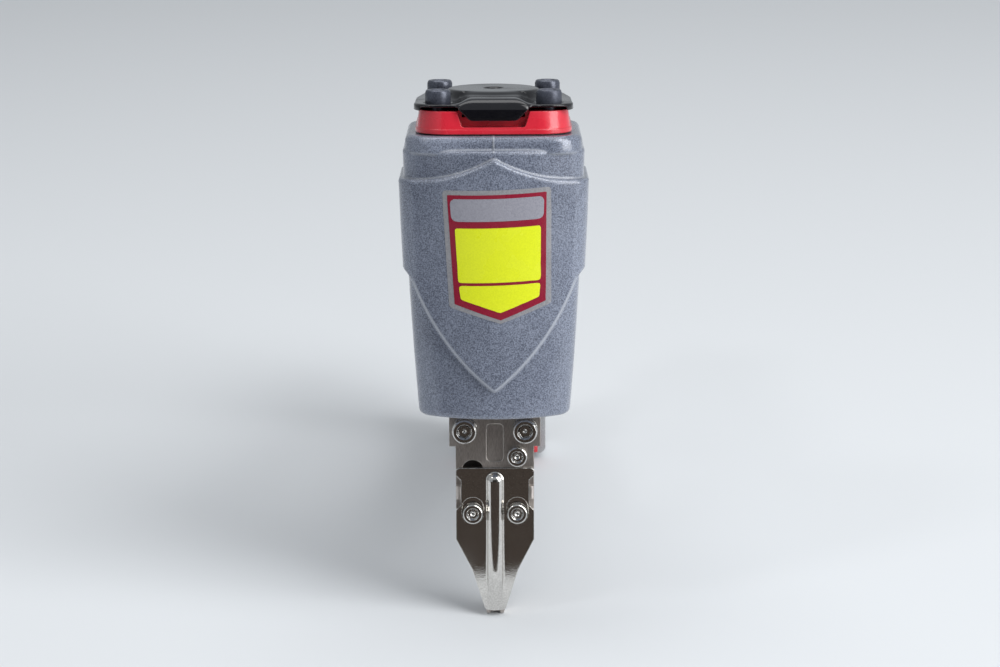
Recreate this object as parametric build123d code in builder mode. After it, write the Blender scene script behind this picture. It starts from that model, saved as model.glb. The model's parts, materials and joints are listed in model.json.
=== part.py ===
from build123d import *
from math import atan2, cos, degrees, pi, sin, sqrt
import os

# A pneumatic brad nailer: a cast housing with a hollow handle, a nose with a pointed front plate,
# a magazine that slides open, and the cylinder, driver and valves that work inside it.
# Each piece is drawn upright in millimetres: drive axis on Z, nose tip at zero, front towards -Y,
# handle towards +Y. The finished pieces lean back together, so that the nose tip and the rear
# bracket stand on one surface.

# Clearances between pieces
seat_gap = 0.05  # screwed, pressed or pushed home
running_gap = 0.05  # turns or slides in its own bore
slide_gap = 0.2  # flat faces that slide past each other
free_gap = 0.3  # pieces that pass without guiding each other

# Screws
m4 = 4.0
m4_head = 7.0
m4_head_height = 3.0
m5 = 5.0
m5_head = 8.5
m5_head_height = 5.0
head_edge = 0.1  # chamfer of a head, as a share of its height
socket_share = 0.4  # half width of the hex socket, as a share of the thread

# Driver blade and its channel
blade_width = 3.2
blade_thickness = 1.6
blade_head = 7.0  # width of the blade's head in the piston
blade_rise = 1.0  # blade above the piston's underside
channel_gap = 0.1
nail_slot = 1.5  # width of the slot that the nails slide in

# Nose, heights up from the tip
nose_length = 73.4  # tip to the underside of the casting
nose_width = 26.7
flange_width = 31.1
flange_height = 14.4  # wide part of the guide, under the casting
plate_height = 51.6
plate_low = 1.7  # foot of the plate above the tip
plate_thickness = 2.5
plate_corner = 1.4
taper_height = 26.6
knee_height = 15.8  # where the taper becomes steeper
knee_width = 15.7
tip_width = 5.7
tip_depth = 2.5  # guide behind the drive axis at the tip
heel_height = 22.0  # where the guide reaches its full depth
guide_depth = 8.0  # guide behind the drive axis
guide_wall = 1.5  # guide in front of the blade, above the plate
rib_width = 5.8
rib_rise = 2.0
rib_height = 50.0
rib_blend = 0.7
rib_fade = 1.6  # how far the rib sinks into the plate at its foot
rib_turn = 30.0  # radius of the turn where it starts to sink
notch_low = 38.5
notch_high = 47.3
notch_depth = 1.7
tab_height = 4.4  # tabs of the guide that locate the plate in its notches
tab_round = 1.2
plate_screw_height = 35.8
plate_screw_side = 7.6
plate_screw_length = 7.0
plate_slot_length = 9.2
plate_slot_rise = 0.9  # slot's middle above its screw
plate_recess = 1.0
guide_screw_height = 55.7
guide_screw_side = 7.6
guide_screw_length = 19.0
guide_hole_height = 50.6
guide_hole_diameter = 7.3
mount_screw_height = 65.1
mount_screw_side = 10.3
mount_screw_length = 22.0
emboss_low = 53.7
emboss_high = 66.8
emboss_depth = 0.4
washer_thickness = 1.2
washer_cut = 0.6
washer_slant = 30.0

# Cast housing
casting_height = 94.5
base_half_width = 25.25
base_front = 28.8
waist_height = 41.0
waist_half_width = 28.1
waist_front = 30.6
top_half_width = 30.1
top_front = 32.2
front_bow = 9.6  # how far the bowed front stands out from its corners
body_rear = 30.0
front_corner = 8.5
rear_corner = 6.0
block_round = 1.4  # top edge of the block
neck_height = 4.4  # neck above the block
neck_half_width = 29.5
neck_half_depth = 28.9
neck_corner = 11.0
neck_draft = 0.5  # how much narrower the neck is at its top
neck_round = 2.2
base_round = 2.0
screw_spread = 36.6  # cap screws, across
screw_reach = 34.0  # cap screws, front to back
cap_thread = 16.0  # thread of the cap screws in the casting
foot_half_width = 14.8  # lug behind the guide, under the casting
foot_depth = 21.0
foot_drop = 12.9

# Shield on the casting's front, heights down from the casting's top unless said
shield_rise = 1.7
shield_peak = 6.8
shield_shoulder = 14.4
shield_top_radius = 56.0
shield_lobe = 43.3
shield_lobe_side = 29.0
shield_lobe_round = 8.0
shield_foot = 9.4  # lower point above the underside of the casting
shield_lower_radius = 88.0
shield_rear = 12.0
shield_corner = 1.5
shield_round = 1.1

# Chamber, cylinder and piston
chamber_radius = 20.0
chamber_floor = 5.0
cylinder_seat = 2.0  # how far the cylinder is let into the floor
cylinder_radius = 16.0
cylinder_wall = 2.0
collar_height = 6.0
collar_rise = 29.0  # partition collar above the chamber floor
piston_height = 10.5
piston_rest = 2.5  # piston below the cylinder's top, at rest
piston_boss_radius = 6.0
piston_boss_height = 6.0
bumper_height = 13.5
bumper_gap = 0.3  # left between bumper and piston at the end of the stroke
driver_hole = 4.2
port_radius = 1.2
port_count = 8
check_band_thickness = 1.2
check_band_width = 3.6
ring_wire = 1.0  # half thickness of the large seal rings
driver_pin_radius = 1.25

# Head valve and the insert that it slides in
insert_radius = 21.0
insert_wall = 1.8
insert_drop = 5.6  # how far the insert goes into the casting
insert_window = 4.0
valve_lift = 4.0  # how far the valve's tube can rise
valve_height = 9.0
valve_tube_radius = 6.5
valve_tube_wall = 1.6
valve_seal_height = 2.0
valve_seal_overlap = 1.0  # seal beyond the cylinder's wall, each way
head_spring_radius = 10.0
head_spring_wire = 0.8
head_spring_turns = 4
spring_pocket = 4.5

# Gasket, red band and cap
gasket_thickness = 0.5
gasket_inset = 1.0
band_height = 7.4
band_half_width = 25.6
band_half_depth = 25.6
band_draft = 0.9  # how much narrower the band is at its top
band_corner = 11.0
band_ledge = 0.3
band_ledge_height = 1.5
notch_width = 24.0
notch_floor = 5.2  # depth of the band's notch
notch_pocket = 4.0  # how far back the notch keeps this depth
notch_vent = 2.2  # depth of the notch behind that, where spent air comes out
notch_slope = 1.6
notch_round = 1.2
cap_plate = 2.3
cap_radius = 26.0
cap_ear_radius = 8.0  # plate around each front screw
cap_rear_ear = 5.4  # plate around each rear screw
cap_spot = 0.8  # how deep the screws' heads sit in the plate
cap_boss_radius = 15.6
cap_boss_rise = 3.2
cap_boss_round = 1.0
cap_boss_blend = 1.5
cap_dimple_radius = 3.0
cap_dimple_depth = 1.1
visor_width = 24.0
visor_reach = 26.8
visor_drop = 3.0
visor_bend = 4.0
visor_foot_width = 15.6
visor_shoulder = 1.0  # slanted sides start this far below the plate's top
visor_corner = 2.0
hood_rise = 2.0  # exhaust hood above the plate
hood_width = 16.4  # across its top
hood_root = 9.9  # where it starts inside the boss, in front of the drive axis

# Handle, grip and rear end, distances back from the drive axis
handle_drop = 39.6  # handle axis below the casting's top
root_width = 33.0
root_height = 38.0
root_corner = 15.0
root_end = 66.0
root_blend = 4.0
core_width = 29.0
core_height = 33.0
core_corner = 13.0
grip_swell = 1.4
handle_end = 178.0
end_collar_length = 24.0  # thick end of the handle
end_width = 37.0
end_height = 41.0
end_corner = 10.0
edge_round = 1.5
air_radius = 12.0
end_cap_length = 12.0
end_spigot = 7.0
end_screw_side = 13.2
end_screw_rise = 15.0
end_screw_length = 18.0  # thread in the handle
inlet_radius = 6.4
plug_thread = 10.0
plug_hex = 16.0
plug_hex_length = 6.0
plug_neck_radius = 4.6
plug_neck_length = 6.0
plug_land_radius = 5.95
plug_land_length = 4.0
plug_tip_radius = 3.95
plug_tip_length = 9.0
plug_bore = 2.6
screen_radius = 8.0
screen_thickness = 1.0

# Trigger and its valve
pivot_back = 36.0
pivot_drop = 6.0  # trigger pin below the handle's root
pin_radius = 1.5
pin_end = 1.6  # pin beyond its clips
ear_inner = 5.7
ear_thickness = 3.5
ear_radius = 4.5
trigger_half_width = 5.4
trigger_hub = 3.3
trigger_reach = 29.0
trigger_drop = 14.0
trigger_depth = 5.0
trigger_curve_back = 10.0  # finger curve, forward of the toe and below the lever's top
trigger_curve_drop = 7.0
trigger_toe = 3.2
trigger_round = 1.4
valve_back = 48.0
valve_radius = 8.0
valve_length = 17.0
valve_floor = 3.0
valve_chamber_radius = 4.7
valve_chamber_length = 11.5
valve_ring_wire = 0.8
valve_ring_rises = (3.4, 8.5)
valve_boss_wall = 3.6
valve_boss_drop = 2.0
stem_radius = 2.0
stem_drop = 4.0  # stem below the boss
stem_head_radius = 4.2
stem_head_height = 3.0
stem_guide_radius = 1.4
valve_spring_radius = 2.9
valve_spring_wire = 0.35
valve_spring_turns = 5
clip_thickness = 1.0
clip_width = 1.5
clip_bite = 0.6  # how deep clips sit in their grooves

# Magazine
magazine_width = 24.0
magazine_low = 28.5
magazine_high = 60.2
magazine_sheet = 2.6  # base and top of the rail
magazine_corner = 1.2
magazine_overhang = 2.0  # beyond the end of the handle
lip_width = 1.5
lip_height = 2.2
rail_groove_depth = 2.5
rail_groove_height = 12.0
cover_wall = 2.5
cover_groove_depth = 0.8
cover_groove_height = 2.0
cover_groove_spread = 8.0
slide_travel = 105.0  # how far the cover slides open
detent_gap = 1.6  # room for the latch's hook in the notch that holds the cover open
detent_depth = 2.7
pocket_height = 11.0
pocket_start = 12.0
pocket_wall = 12.0  # left behind the pocket
pusher_start = 14.0
pusher_length = 26.0
pusher_nose = 1.8
roll_back = 33.0
roll_inner = 2.6
roll_turns = 3
roll_pitch = 0.72
roll_strip = 0.2
roll_width = 5.0
strip_slot = 1.2
pull_length = 12.0
pull_overhang = 2.0
pull_lift = 3.0
pull_screw_length = 18.0

# Rear bracket and latch
bracket_left = 16.0
bracket_right = 19.7
bracket_depth = 20.0
bracket_bottom = 21.8
bracket_column_width = 24.0
bracket_column_depth = 10.0
bracket_sheet = 5.0  # flange and bridge
bracket_corner = 3.0
cheek_gap = 0.8  # left cheek clear of the cover
boss_half_width = 13.0
boss_drop = 4.5
bracket_screw_side = 8.5
bracket_screw_inset = 4.3  # behind the bracket's front
bracket_screw_length = 12.0  # thread in the handle's boss
rail_screw_inset = 8.0  # in front of the bracket's rear
rail_screw_low = 34.6
rail_screw_high = 53.0
rail_screw_length = 13.0
rail_screw_thread = 9.5  # depth of its hole in the rail
latch_inset = 11.0  # pin in front of the bracket's rear
latch_height = 25.2
latch_reach = 9.0  # lever in front of the bracket
latch_tab_left = 13.0
latch_tab_right = 16.5
latch_tab_length = 8.0
latch_width = 14.0
latch_thickness = 2.4
latch_hub = 2.4
latch_hook_gap = 1.8  # hook behind the cover
latch_hook_length = 3.4
latch_spring_radius = 1.8
latch_spring_wire = 0.25
latch_spring_turns = 2
latch_spring_pocket = 1.6

# Levels and places that follow from the sizes above
casting_top = nose_length + casting_height
block_top = casting_top - neck_height
band_low = casting_top + gasket_thickness
band_top = band_low + band_height
plate_level = band_top + cap_plate
cap_seat = plate_level - cap_spot
boss_level = plate_level + cap_boss_rise
boss_ceiling = boss_level - cap_plate
hood_level = plate_level + hood_rise
channel_half = blade_thickness / 2 + channel_gap
guide_front = -(channel_half + guide_wall)
plate_face = -(channel_half + plate_thickness)
plate_seat = plate_face + plate_recess
handle_axis = casting_top - handle_drop
chamber_low = nose_length + chamber_floor
cylinder_low = chamber_low - cylinder_seat
cylinder_outer = cylinder_radius + cylinder_wall
insert_low = casting_top - insert_drop
insert_inner = insert_radius - insert_wall
cylinder_top = insert_low - slide_gap
bumper_top = cylinder_low + bumper_height
piston_low = cylinder_top - piston_rest - piston_height
drive_stroke = piston_low - bumper_top - bumper_gap
piston_radius = cylinder_radius - 2 * running_gap
piston_boss_low = piston_low - piston_boss_height
driver_pin_height = piston_low - piston_boss_height / 2
blade_low = drive_stroke + running_gap
blade_top = piston_low + blade_rise
valve_low = cylinder_top + free_gap
valve_top = valve_low + valve_height
valve_tube_top = boss_ceiling - valve_lift - slide_gap
root_low = handle_axis - root_height / 2
pivot_height = root_low - pivot_drop
valve_boss_low = root_low - valve_boss_drop
clip_low = valve_boss_low + clip_bite
valve_body_low = clip_low + clip_thickness
valve_chamber_low = valve_body_low + valve_floor
stem_low = valve_boss_low - stem_drop
stem_head_low = valve_chamber_low + seat_gap
stem_head_top = stem_head_low + stem_head_height
lever_top = stem_low - free_gap
collar_start = handle_end - end_collar_length
magazine_rear = handle_end + magazine_overhang
pocket_end = magazine_rear - pocket_wall
slot_low = magazine_low + magazine_sheet
slot_high = magazine_high - magazine_sheet
slot_middle = (slot_low + slot_high) / 2
half_magazine = magazine_width / 2
half_slot = nail_slot / 2
cover_low = slot_low + slide_gap
cover_high = slot_high - slide_gap
pocket_side = half_magazine - cover_wall
bracket_top = handle_axis - end_height / 2 - boss_drop
bracket_front = handle_end - bracket_depth
bracket_screw_back = bracket_front + bracket_screw_inset
rail_screw_back = handle_end - rail_screw_inset
bridge_low = magazine_high + free_gap
cheek_inner = half_magazine + cheek_gap
bracket_width = bracket_left + bracket_right
latch_back = handle_end - latch_inset
latch_front = bracket_front - latch_reach
latch_hook_back = magazine_rear + latch_hook_gap
latch_low = latch_height - latch_thickness / 2
latch_top = latch_height + latch_thickness / 2
lean = degrees(atan2(bracket_bottom, handle_end - tip_depth))

ON_TOP = (Align.CENTER, Align.CENTER, Align.MIN)
BELOW = (Align.CENTER, Align.CENTER, Align.MAX)
FORWARD = (0, -1, 0)
BACKWARD = (0, 1, 0)
UPWARD = (0, 0, 1)
DOWNWARD = (0, 0, -1)
RIGHTWARD = (1, 0, 0)

# Origin of the standing tool: the rear edge of the nose tip, on the surface that it stands on
STAND = Location((0, 0, 0), (-lean, 0, 0)) * Location((0, -tip_depth, 0))


def level(height):
    """Drawing plane seen from above, at a height."""
    return Plane.XY.offset(height)


def front_view(back):
    """Drawing plane seen from the front, at a distance behind the drive axis; extrudes forwards."""
    return Plane.XZ.offset(-back)


def side_view(side):
    """Drawing plane seen from the right, at a distance to the right; extrudes to the right."""
    return Plane.YZ.offset(side)


def facing(place, direction):
    """Plane at a place whose Z points along a direction."""
    x_dir = (0, 1, 0) if direction == RIGHTWARD else (1, 0, 0)
    return Plane(origin=place, x_dir=x_dir, z_dir=direction)


def save(piece, name):
    """Label a finished piece, stand it up with the rest of the tool and write it."""
    standing = piece.moved(STAND)
    standing.label = name
    export_step(standing, f"parts/{name}.step")


def rod(place, direction, radius, length, mode=Mode.ADD):
    """Round bar, or bore, that starts at a place and runs along a direction."""
    with Locations(facing(place, direction)):
        Cylinder(radius, length, align=ON_TOP, mode=mode)


def bore(place, direction, radius, length):
    """Round hole that starts at a place and runs along a direction."""
    rod(place, direction, radius, length, Mode.SUBTRACT)


def block(left, right, front, back, low, high, mode=Mode.ADD):
    """Square block between its sides, front, back and levels."""
    with Locations(((left + right) / 2, (front + back) / 2, (low + high) / 2)):
        Box(right - left, back - front, high - low, mode=mode)


def handle_block(width, height, corner, front, back):
    """Rounded block about the handle's axis between two distances back."""
    with BuildSketch(front_view(front)) as section:
        with Locations((0, handle_axis)):
            RectangleRounded(width, height, corner)
    extrude(section.sketch, amount=front - back)


def socket_screw(thread, head, head_height, length):
    """Socket-head screw seated at the origin: head above, shank below."""
    with BuildPart() as screw:
        Cylinder(head / 2, head_height, align=ON_TOP)
        chamfer(screw.edges().sort_by(Axis.Z)[-1], head_edge * head_height)
        with BuildSketch(level(head_height)):
            RegularPolygon(socket_share * thread, 6, major_radius=False)
        extrude(amount=-head_height / 2, mode=Mode.SUBTRACT)
        Cylinder(thread / 2, length, align=BELOW)
    return screw.part


def helix_point(radius, rise, turn):
    """Point of a helix about Z after a number of turns."""
    return Vector(radius * cos(2 * pi * turn), radius * sin(2 * pi * turn), rise * turn)


def helix_way(radius, rise, turn):
    """Direction of that helix after a number of turns."""
    sweep_rate = 2 * pi * radius
    return Vector(-sweep_rate * sin(2 * pi * turn), sweep_rate * cos(2 * pi * turn), rise).normalized()


def biarc_reach(start, start_way, end, end_way):
    """Length of the equal tangents at the ends of two arcs that join two points smoothly."""
    span = end - start
    along = span.dot(start_way + end_way)
    turn = 1 - start_way.dot(end_way)
    return (sqrt(along**2 + 2 * turn * span.dot(span)) - along) / (2 * turn)


def coil_spring(name, radius, wire, length, turns):
    """Round-wire spring on Z from zero to its length, swept along two arcs for each half turn.

    Prints the least gap between its turns, measured on points of the wire's centre line."""
    rise = (length - 2 * wire) / turns
    foot = Vector(0, 0, wire)
    with BuildPart() as spring:
        with BuildLine() as path:
            for half in range(2 * turns):
                start = helix_point(radius, rise, half / 2) + foot
                end = helix_point(radius, rise, (half + 1) / 2) + foot
                start_way = helix_way(radius, rise, half / 2)
                end_way = helix_way(radius, rise, (half + 1) / 2)
                reach = biarc_reach(start, start_way, end, end_way)
                leave = start + start_way * reach
                arrive = end - end_way * reach
                middle = (leave + arrive) * 0.5
                TangentArc(start, middle, tangent=start_way)
                TangentArc(middle, end, tangent=arrive - leave)
        with BuildSketch(Plane(origin=foot + Vector(radius, 0, 0), z_dir=helix_way(radius, rise, 0))):
            Circle(wire)
        sweep(path=path.wires()[0])
    steps = 24
    points = [helix_point(radius, rise, step / steps) for step in range(steps * turns + 1)]
    apart = [(a - b).length for i, a in enumerate(points) for b in points[i + steps // 2 :]]
    print(f"{name}: least gap between turns {min(apart) - 2 * wire:.2f} mm")
    return spring.part


def body_outline(height, half_width, front):
    """Plan outline of the body at a height: bowed front, straight sides and rear."""
    side_start = front_bow - front
    with BuildSketch(level(height)) as outline:
        with BuildLine():
            ThreePointArc((-half_width, side_start), (0, -front), (half_width, side_start))
            Polyline(
                (half_width, side_start),
                (half_width, body_rear),
                (-half_width, body_rear),
                (-half_width, side_start),
            )
        make_face()
        fillet(outline.vertices().group_by(Axis.Y)[0], front_corner)
        fillet(outline.vertices().group_by(Axis.Y)[-1], rear_corner)
    return outline.sketch


def body_loft(extra):
    """The body's outer form, standing out by an extra thickness."""
    base = body_outline(nose_length, base_half_width + extra, base_front + extra)
    waist = body_outline(nose_length + waist_height, waist_half_width + extra, waist_front + extra)
    top = body_outline(block_top, top_half_width + extra, top_front + extra)
    loft([base, waist, top])


def nose_outline(top):
    """Front outline of the nose up to a height, pointed at the tip, where the plate meets the guide."""
    half = nose_width / 2
    with BuildSketch(front_view(-channel_half)) as outline:
        with BuildLine():
            Polyline(
                (0, 0),
                (tip_width / 2, 0),
                (knee_width / 2, knee_height),
                (half, taper_height),
                (half, top),
                (0, top),
            )
            mirror(about=Plane.YZ)
        make_face()
    return outline.sketch


def seal_ring(outer, wire):
    """Round-section seal ring about Z at the origin, by its outer radius."""
    with BuildPart() as ring:
        Torus(outer - wire, wire)
    return ring.part


def ring_groove(plane, outer, wire):
    """Groove for a seal ring, turned into a round piece about a plane's middle."""
    with BuildSketch(plane) as section:
        Circle(outer + wire)
        Circle(outer - 2 * wire - seat_gap, mode=Mode.SUBTRACT)
    extrude(section.sketch, amount=wire + seat_gap, both=True, mode=Mode.SUBTRACT)


mount_screw_thread = mount_screw_length - washer_thickness - guide_depth + guide_front
cap_screw_places = [
    (side * screw_spread / 2, end * screw_reach / 2) for side in (-1, 1) for end in (-1, 1)
]
end_screw_places = [
    (side * end_screw_side, handle_end, handle_axis + end * end_screw_rise)
    for side in (-1, 1)
    for end in (-1, 1)
]
mount_screw_places = [(side * mount_screw_side, mount_screw_height) for side in (-1, 1)]
plate_screw_places = [(side * plate_screw_side, plate_screw_height) for side in (-1, 1)]
bracket_screw_places = [(side * bracket_screw_side, bracket_screw_back) for side in (-1, 1)]
rail_screw_places = [(rail_screw_back, height) for height in (rail_screw_low, rail_screw_high)]

os.makedirs("parts", exist_ok=True)

# Shield: the body's form standing proud inside an outline drawn on its front
with BuildPart() as shield:
    body_loft(shield_rise)
    peak = casting_top - shield_peak
    shoulder = casting_top - shield_shoulder
    lobe = casting_top - shield_lobe
    point = nose_length + shield_foot
    ogee_run = sqrt(2 * shield_top_radius * (peak - shoulder) - (peak - shoulder) ** 2)
    outside = top_half_width + 4 * shield_rise
    with BuildSketch(front_view(shield_rear)) as shield_outline:
        with BuildLine():
            RadiusArc((0, peak), (ogee_run, shoulder), -shield_top_radius)
            Polyline((ogee_run, shoulder), (outside, shoulder), (outside, lobe), (shield_lobe_side, lobe))
            RadiusArc((shield_lobe_side, lobe), (0, point), shield_lower_radius)
            mirror(about=Plane.YZ)
        make_face()
        corners = shield_outline.vertices()
        fillet(corners.filter_by_position(Axis.X, -shield_corner, shield_corner), shield_corner)
        lobes = shield_outline.vertices().filter_by_position(Axis.Y, lobe - seat_gap, lobe + seat_gap)
        fillet(lobes.filter_by_position(Axis.X, -outside + seat_gap, outside - seat_gap), shield_lobe_round)
    extrude(amount=shield_rear + 2 * top_front, mode=Mode.INTERSECT)
    form = shield.faces().filter_by(GeomType.BSPLINE)
    walls = shield.faces().filter_by(GeomType.CYLINDER)
    walls += shield.faces().filter_by(GeomType.PLANE).filter_by(Axis.Z)
    fillet(form.edges() & walls.edges(), shield_round)

# Cast housing: body, hollow handle, lugs and bosses, then its bores
with BuildPart() as housing:
    body_loft(0)
    fillet(housing.faces().sort_by(Axis.Z)[-1].edges(), block_round)
    fillet(housing.faces().sort_by(Axis.Z)[0].edges(), base_round)
    add(shield.part)
    with BuildSketch(level(block_top - block_round)):
        RectangleRounded(2 * neck_half_width, 2 * neck_half_depth, neck_corner)
    extrude(amount=block_round)
    with BuildSketch(level(block_top)):
        RectangleRounded(2 * neck_half_width, 2 * neck_half_depth, neck_corner)
    extrude(amount=neck_height, taper=degrees(atan2(neck_draft, neck_height)))
    fillet(housing.faces().sort_by(Axis.Z)[-1].edges(), neck_round)
    handle_block(root_width, root_height, root_corner, body_rear - rear_corner, root_end)
    joint = housing.edges().filter_by_position(Axis.Y, body_rear - seat_gap, body_rear + seat_gap)
    joint = joint.filter_by_position(Axis.X, -root_width / 2 - seat_gap, root_width / 2 + seat_gap)
    joint = joint.filter_by_position(Axis.Z, root_low - seat_gap, root_low + root_height + seat_gap)
    fillet(joint, root_blend)
    handle_block(core_width, core_height, core_corner, root_end, collar_start)
    handle_block(end_width, end_height, end_corner, collar_start, handle_end)
    block(
        -boss_half_width, boss_half_width, collar_start, handle_end, bracket_top, handle_axis - end_height / 4
    )
    for side in (ear_inner, -ear_inner - ear_thickness):
        with BuildSketch(side_view(side)):
            with BuildLine():
                Polyline(
                    (body_rear - rear_corner, root_low + root_blend),
                    (body_rear - rear_corner, pivot_height - ear_radius),
                    (pivot_back, pivot_height - ear_radius),
                    (pivot_back + ear_radius, pivot_height),
                    (pivot_back + ear_radius, root_low + root_blend),
                    close=True,
                )
            make_face()
            with Locations((pivot_back, pivot_height)):
                Circle(ear_radius)
        extrude(amount=ear_thickness)
    valve_boss_radius = valve_radius + valve_boss_wall
    rod((0, valve_back, valve_boss_low), UPWARD, valve_boss_radius, valve_boss_drop + root_corner)
    block(
        -foot_half_width,
        foot_half_width,
        guide_depth,
        guide_depth + foot_depth,
        nose_length - foot_drop,
        chamber_low,
    )
    bore((0, 0, nose_length), UPWARD, driver_hole, chamber_floor)
    bore((0, 0, cylinder_low), UPWARD, cylinder_outer + seat_gap, cylinder_seat)
    bore((0, 0, chamber_low), UPWARD, chamber_radius, casting_height)
    bore((0, 0, insert_low), UPWARD, insert_radius + seat_gap, casting_height)
    bore((0, 0, handle_axis), BACKWARD, air_radius, handle_end)
    bore((0, valve_back, valve_boss_low), UPWARD, valve_radius, handle_axis - valve_boss_low)
    bore((0, valve_back, clip_low), UPWARD, valve_radius + clip_bite + seat_gap, clip_thickness)
    bore(
        (-ear_inner - ear_thickness, pivot_back, pivot_height),
        RIGHTWARD,
        pin_radius + running_gap,
        2 * (ear_inner + ear_thickness),
    )
    for x, y in cap_screw_places:
        bore((x, y, casting_top), DOWNWARD, m5 / 2 + seat_gap, cap_thread + seat_gap)
    for x, z in mount_screw_places:
        bore((x, guide_depth, z), BACKWARD, m5 / 2 + seat_gap, mount_screw_thread + free_gap)
    for place in end_screw_places:
        bore(place, FORWARD, m4 / 2 + seat_gap, end_screw_length)
    for x, y in bracket_screw_places:
        bore((x, y, bracket_top), UPWARD, m4 / 2 + seat_gap, bracket_screw_length)
save(housing.part, "housing")

# Rubber grip around the handle, swelling towards its middle
with BuildPart() as hand_grip:
    for back, swell in ((root_end, 0), ((root_end + collar_start) / 2, grip_swell), (collar_start, 0)):
        with BuildSketch(front_view(back)):
            with Locations((0, handle_axis)):
                RectangleRounded(root_width + 2 * swell, root_height + 2 * swell, root_corner + swell)
    loft()
    with BuildSketch(front_view(root_end)):
        with Locations((0, handle_axis)):
            RectangleRounded(core_width + 2 * seat_gap, core_height + 2 * seat_gap, core_corner + seat_gap)
    extrude(amount=root_end - collar_start, mode=Mode.SUBTRACT)
save(hand_grip.part, "hand_grip")

# Gasket, red band and black cap, with the exhaust leaving at the front under the cap's tongue
with BuildPart() as cap_gasket:
    with BuildSketch(level(casting_top)):
        RectangleRounded(
            2 * (band_half_width - gasket_inset), 2 * (band_half_depth - gasket_inset), band_corner
        )
        Circle(insert_radius + seat_gap, mode=Mode.SUBTRACT)
        with Locations(*cap_screw_places):
            Circle(m5 / 2 + seat_gap, mode=Mode.SUBTRACT)
    extrude(amount=gasket_thickness)
save(cap_gasket.part, "cap_gasket")

with BuildPart() as cap_band:
    with BuildSketch(level(band_low)):
        RectangleRounded(2 * band_half_width, 2 * band_half_depth, band_corner)
    extrude(amount=band_height, taper=degrees(atan2(band_draft, band_height)))
    with BuildSketch(level(band_low)):
        RectangleRounded(
            2 * (band_half_width + band_ledge), 2 * (band_half_depth + band_ledge), band_corner + band_ledge
        )
    extrude(amount=band_ledge_height)
    bore((0, 0, band_low), UPWARD, insert_radius + seat_gap, band_height)
    for x, y in cap_screw_places:
        bore((x, y, band_low), UPWARD, m5 / 2 + seat_gap, band_height)
    with BuildSketch(front_view(notch_pocket - band_half_depth)) as notch:
        with BuildLine():
            Polyline(
                (-notch_width / 2, band_top),
                (-notch_width / 2 + notch_slope, band_top - notch_floor),
                (notch_width / 2 - notch_slope, band_top - notch_floor),
                (notch_width / 2, band_top),
                close=True,
            )
        make_face()
        fillet(notch.vertices().group_by(Axis.Y)[0], notch_round)
    extrude(amount=2 * notch_pocket, mode=Mode.SUBTRACT)
    vent_half = notch_width / 2 - notch_slope
    block(-vent_half, vent_half, -band_half_depth, 0, band_top - notch_vent, band_top, Mode.SUBTRACT)
save(cap_band.part, "cap_band")

with BuildPart() as cylinder_cap:
    with BuildSketch(level(band_top)):
        Circle(cap_radius)
        for x, y in cap_screw_places:
            with Locations((x, y)):
                Circle(cap_ear_radius if y < 0 else cap_rear_ear)
        make_hull()
    extrude(amount=cap_plate)
    with BuildSketch(side_view(-visor_width / 2)):
        with BuildLine():
            bend = Line((-hood_root, hood_level), (visor_bend - visor_reach, hood_level))
            drop = JernArc(bend @ 1, bend % 1, visor_bend, 90)
            fall = Line(drop @ 1, (-visor_reach, band_top - visor_drop))
            foot = Line(fall @ 1, (cap_plate - visor_reach, band_top - visor_drop))
            rise = Line(foot @ 1, (cap_plate - visor_reach, drop.arc_center.Y))
            inner = JernArc(rise @ 1, (0, 1), visor_bend - cap_plate, -90)
            Polyline(inner @ 1, (-hood_root, band_top), bend @ 0)
        make_face()
    extrude(amount=visor_width)
    visor_low = band_top - visor_drop
    for side in (-1, 1):
        with BuildSketch(front_view(-cap_boss_radius)):
            with BuildLine():
                Polyline(
                    (side * visor_width / 2, plate_level - visor_shoulder),
                    (side * visor_foot_width / 2, visor_low),
                    (side * visor_width, visor_low),
                    (side * visor_width, plate_level - visor_shoulder),
                    close=True,
                )
            make_face()
        extrude(amount=visor_reach, mode=Mode.SUBTRACT)
        with BuildSketch(front_view(-hood_root)):
            with BuildLine():
                Polyline(
                    (side * hood_width / 2, hood_level),
                    (side * visor_width / 2, plate_level),
                    (side * visor_width, plate_level),
                    (side * visor_width, hood_level),
                    close=True,
                )
            make_face()
        extrude(amount=visor_reach, mode=Mode.SUBTRACT)
    feet = cylinder_cap.edges().filter_by(Axis.Y).filter_by_position(Axis.Z, visor_low, visor_low + seat_gap)
    fillet(feet, visor_corner)
    rod((0, 0, band_top), UPWARD, cap_boss_radius, boss_level - band_top)
    fillet(cylinder_cap.faces().sort_by(Axis.Z)[-1].edges(), cap_boss_round)
    boss_foot = cylinder_cap.edges().filter_by(GeomType.CIRCLE)
    boss_foot = boss_foot.filter_by_position(Axis.Z, plate_level - seat_gap, plate_level + seat_gap)
    fillet([edge for edge in boss_foot if edge.radius == cap_boss_radius], cap_boss_blend)
    bore((0, 0, band_top), UPWARD, cap_boss_radius - cap_plate, boss_ceiling - band_top)
    bore((0, 0, boss_level), DOWNWARD, cap_dimple_radius, cap_dimple_depth)
    for x, y in cap_screw_places:
        bore((x, y, band_top), UPWARD, m5 / 2 + seat_gap, cap_plate)
        bore((x, y, plate_level), DOWNWARD, m5_head / 2 + slide_gap, cap_spot)
save(cylinder_cap.part, "cylinder_cap")

cap_screw = socket_screw(m5, m5_head, m5_head_height, cap_seat - casting_top + cap_thread)
with BuildPart() as cap_screws:
    with Locations(*[(x, y, cap_seat) for x, y in cap_screw_places]):
        add(cap_screw)
save(cap_screws.part, "cap_screws")

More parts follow.
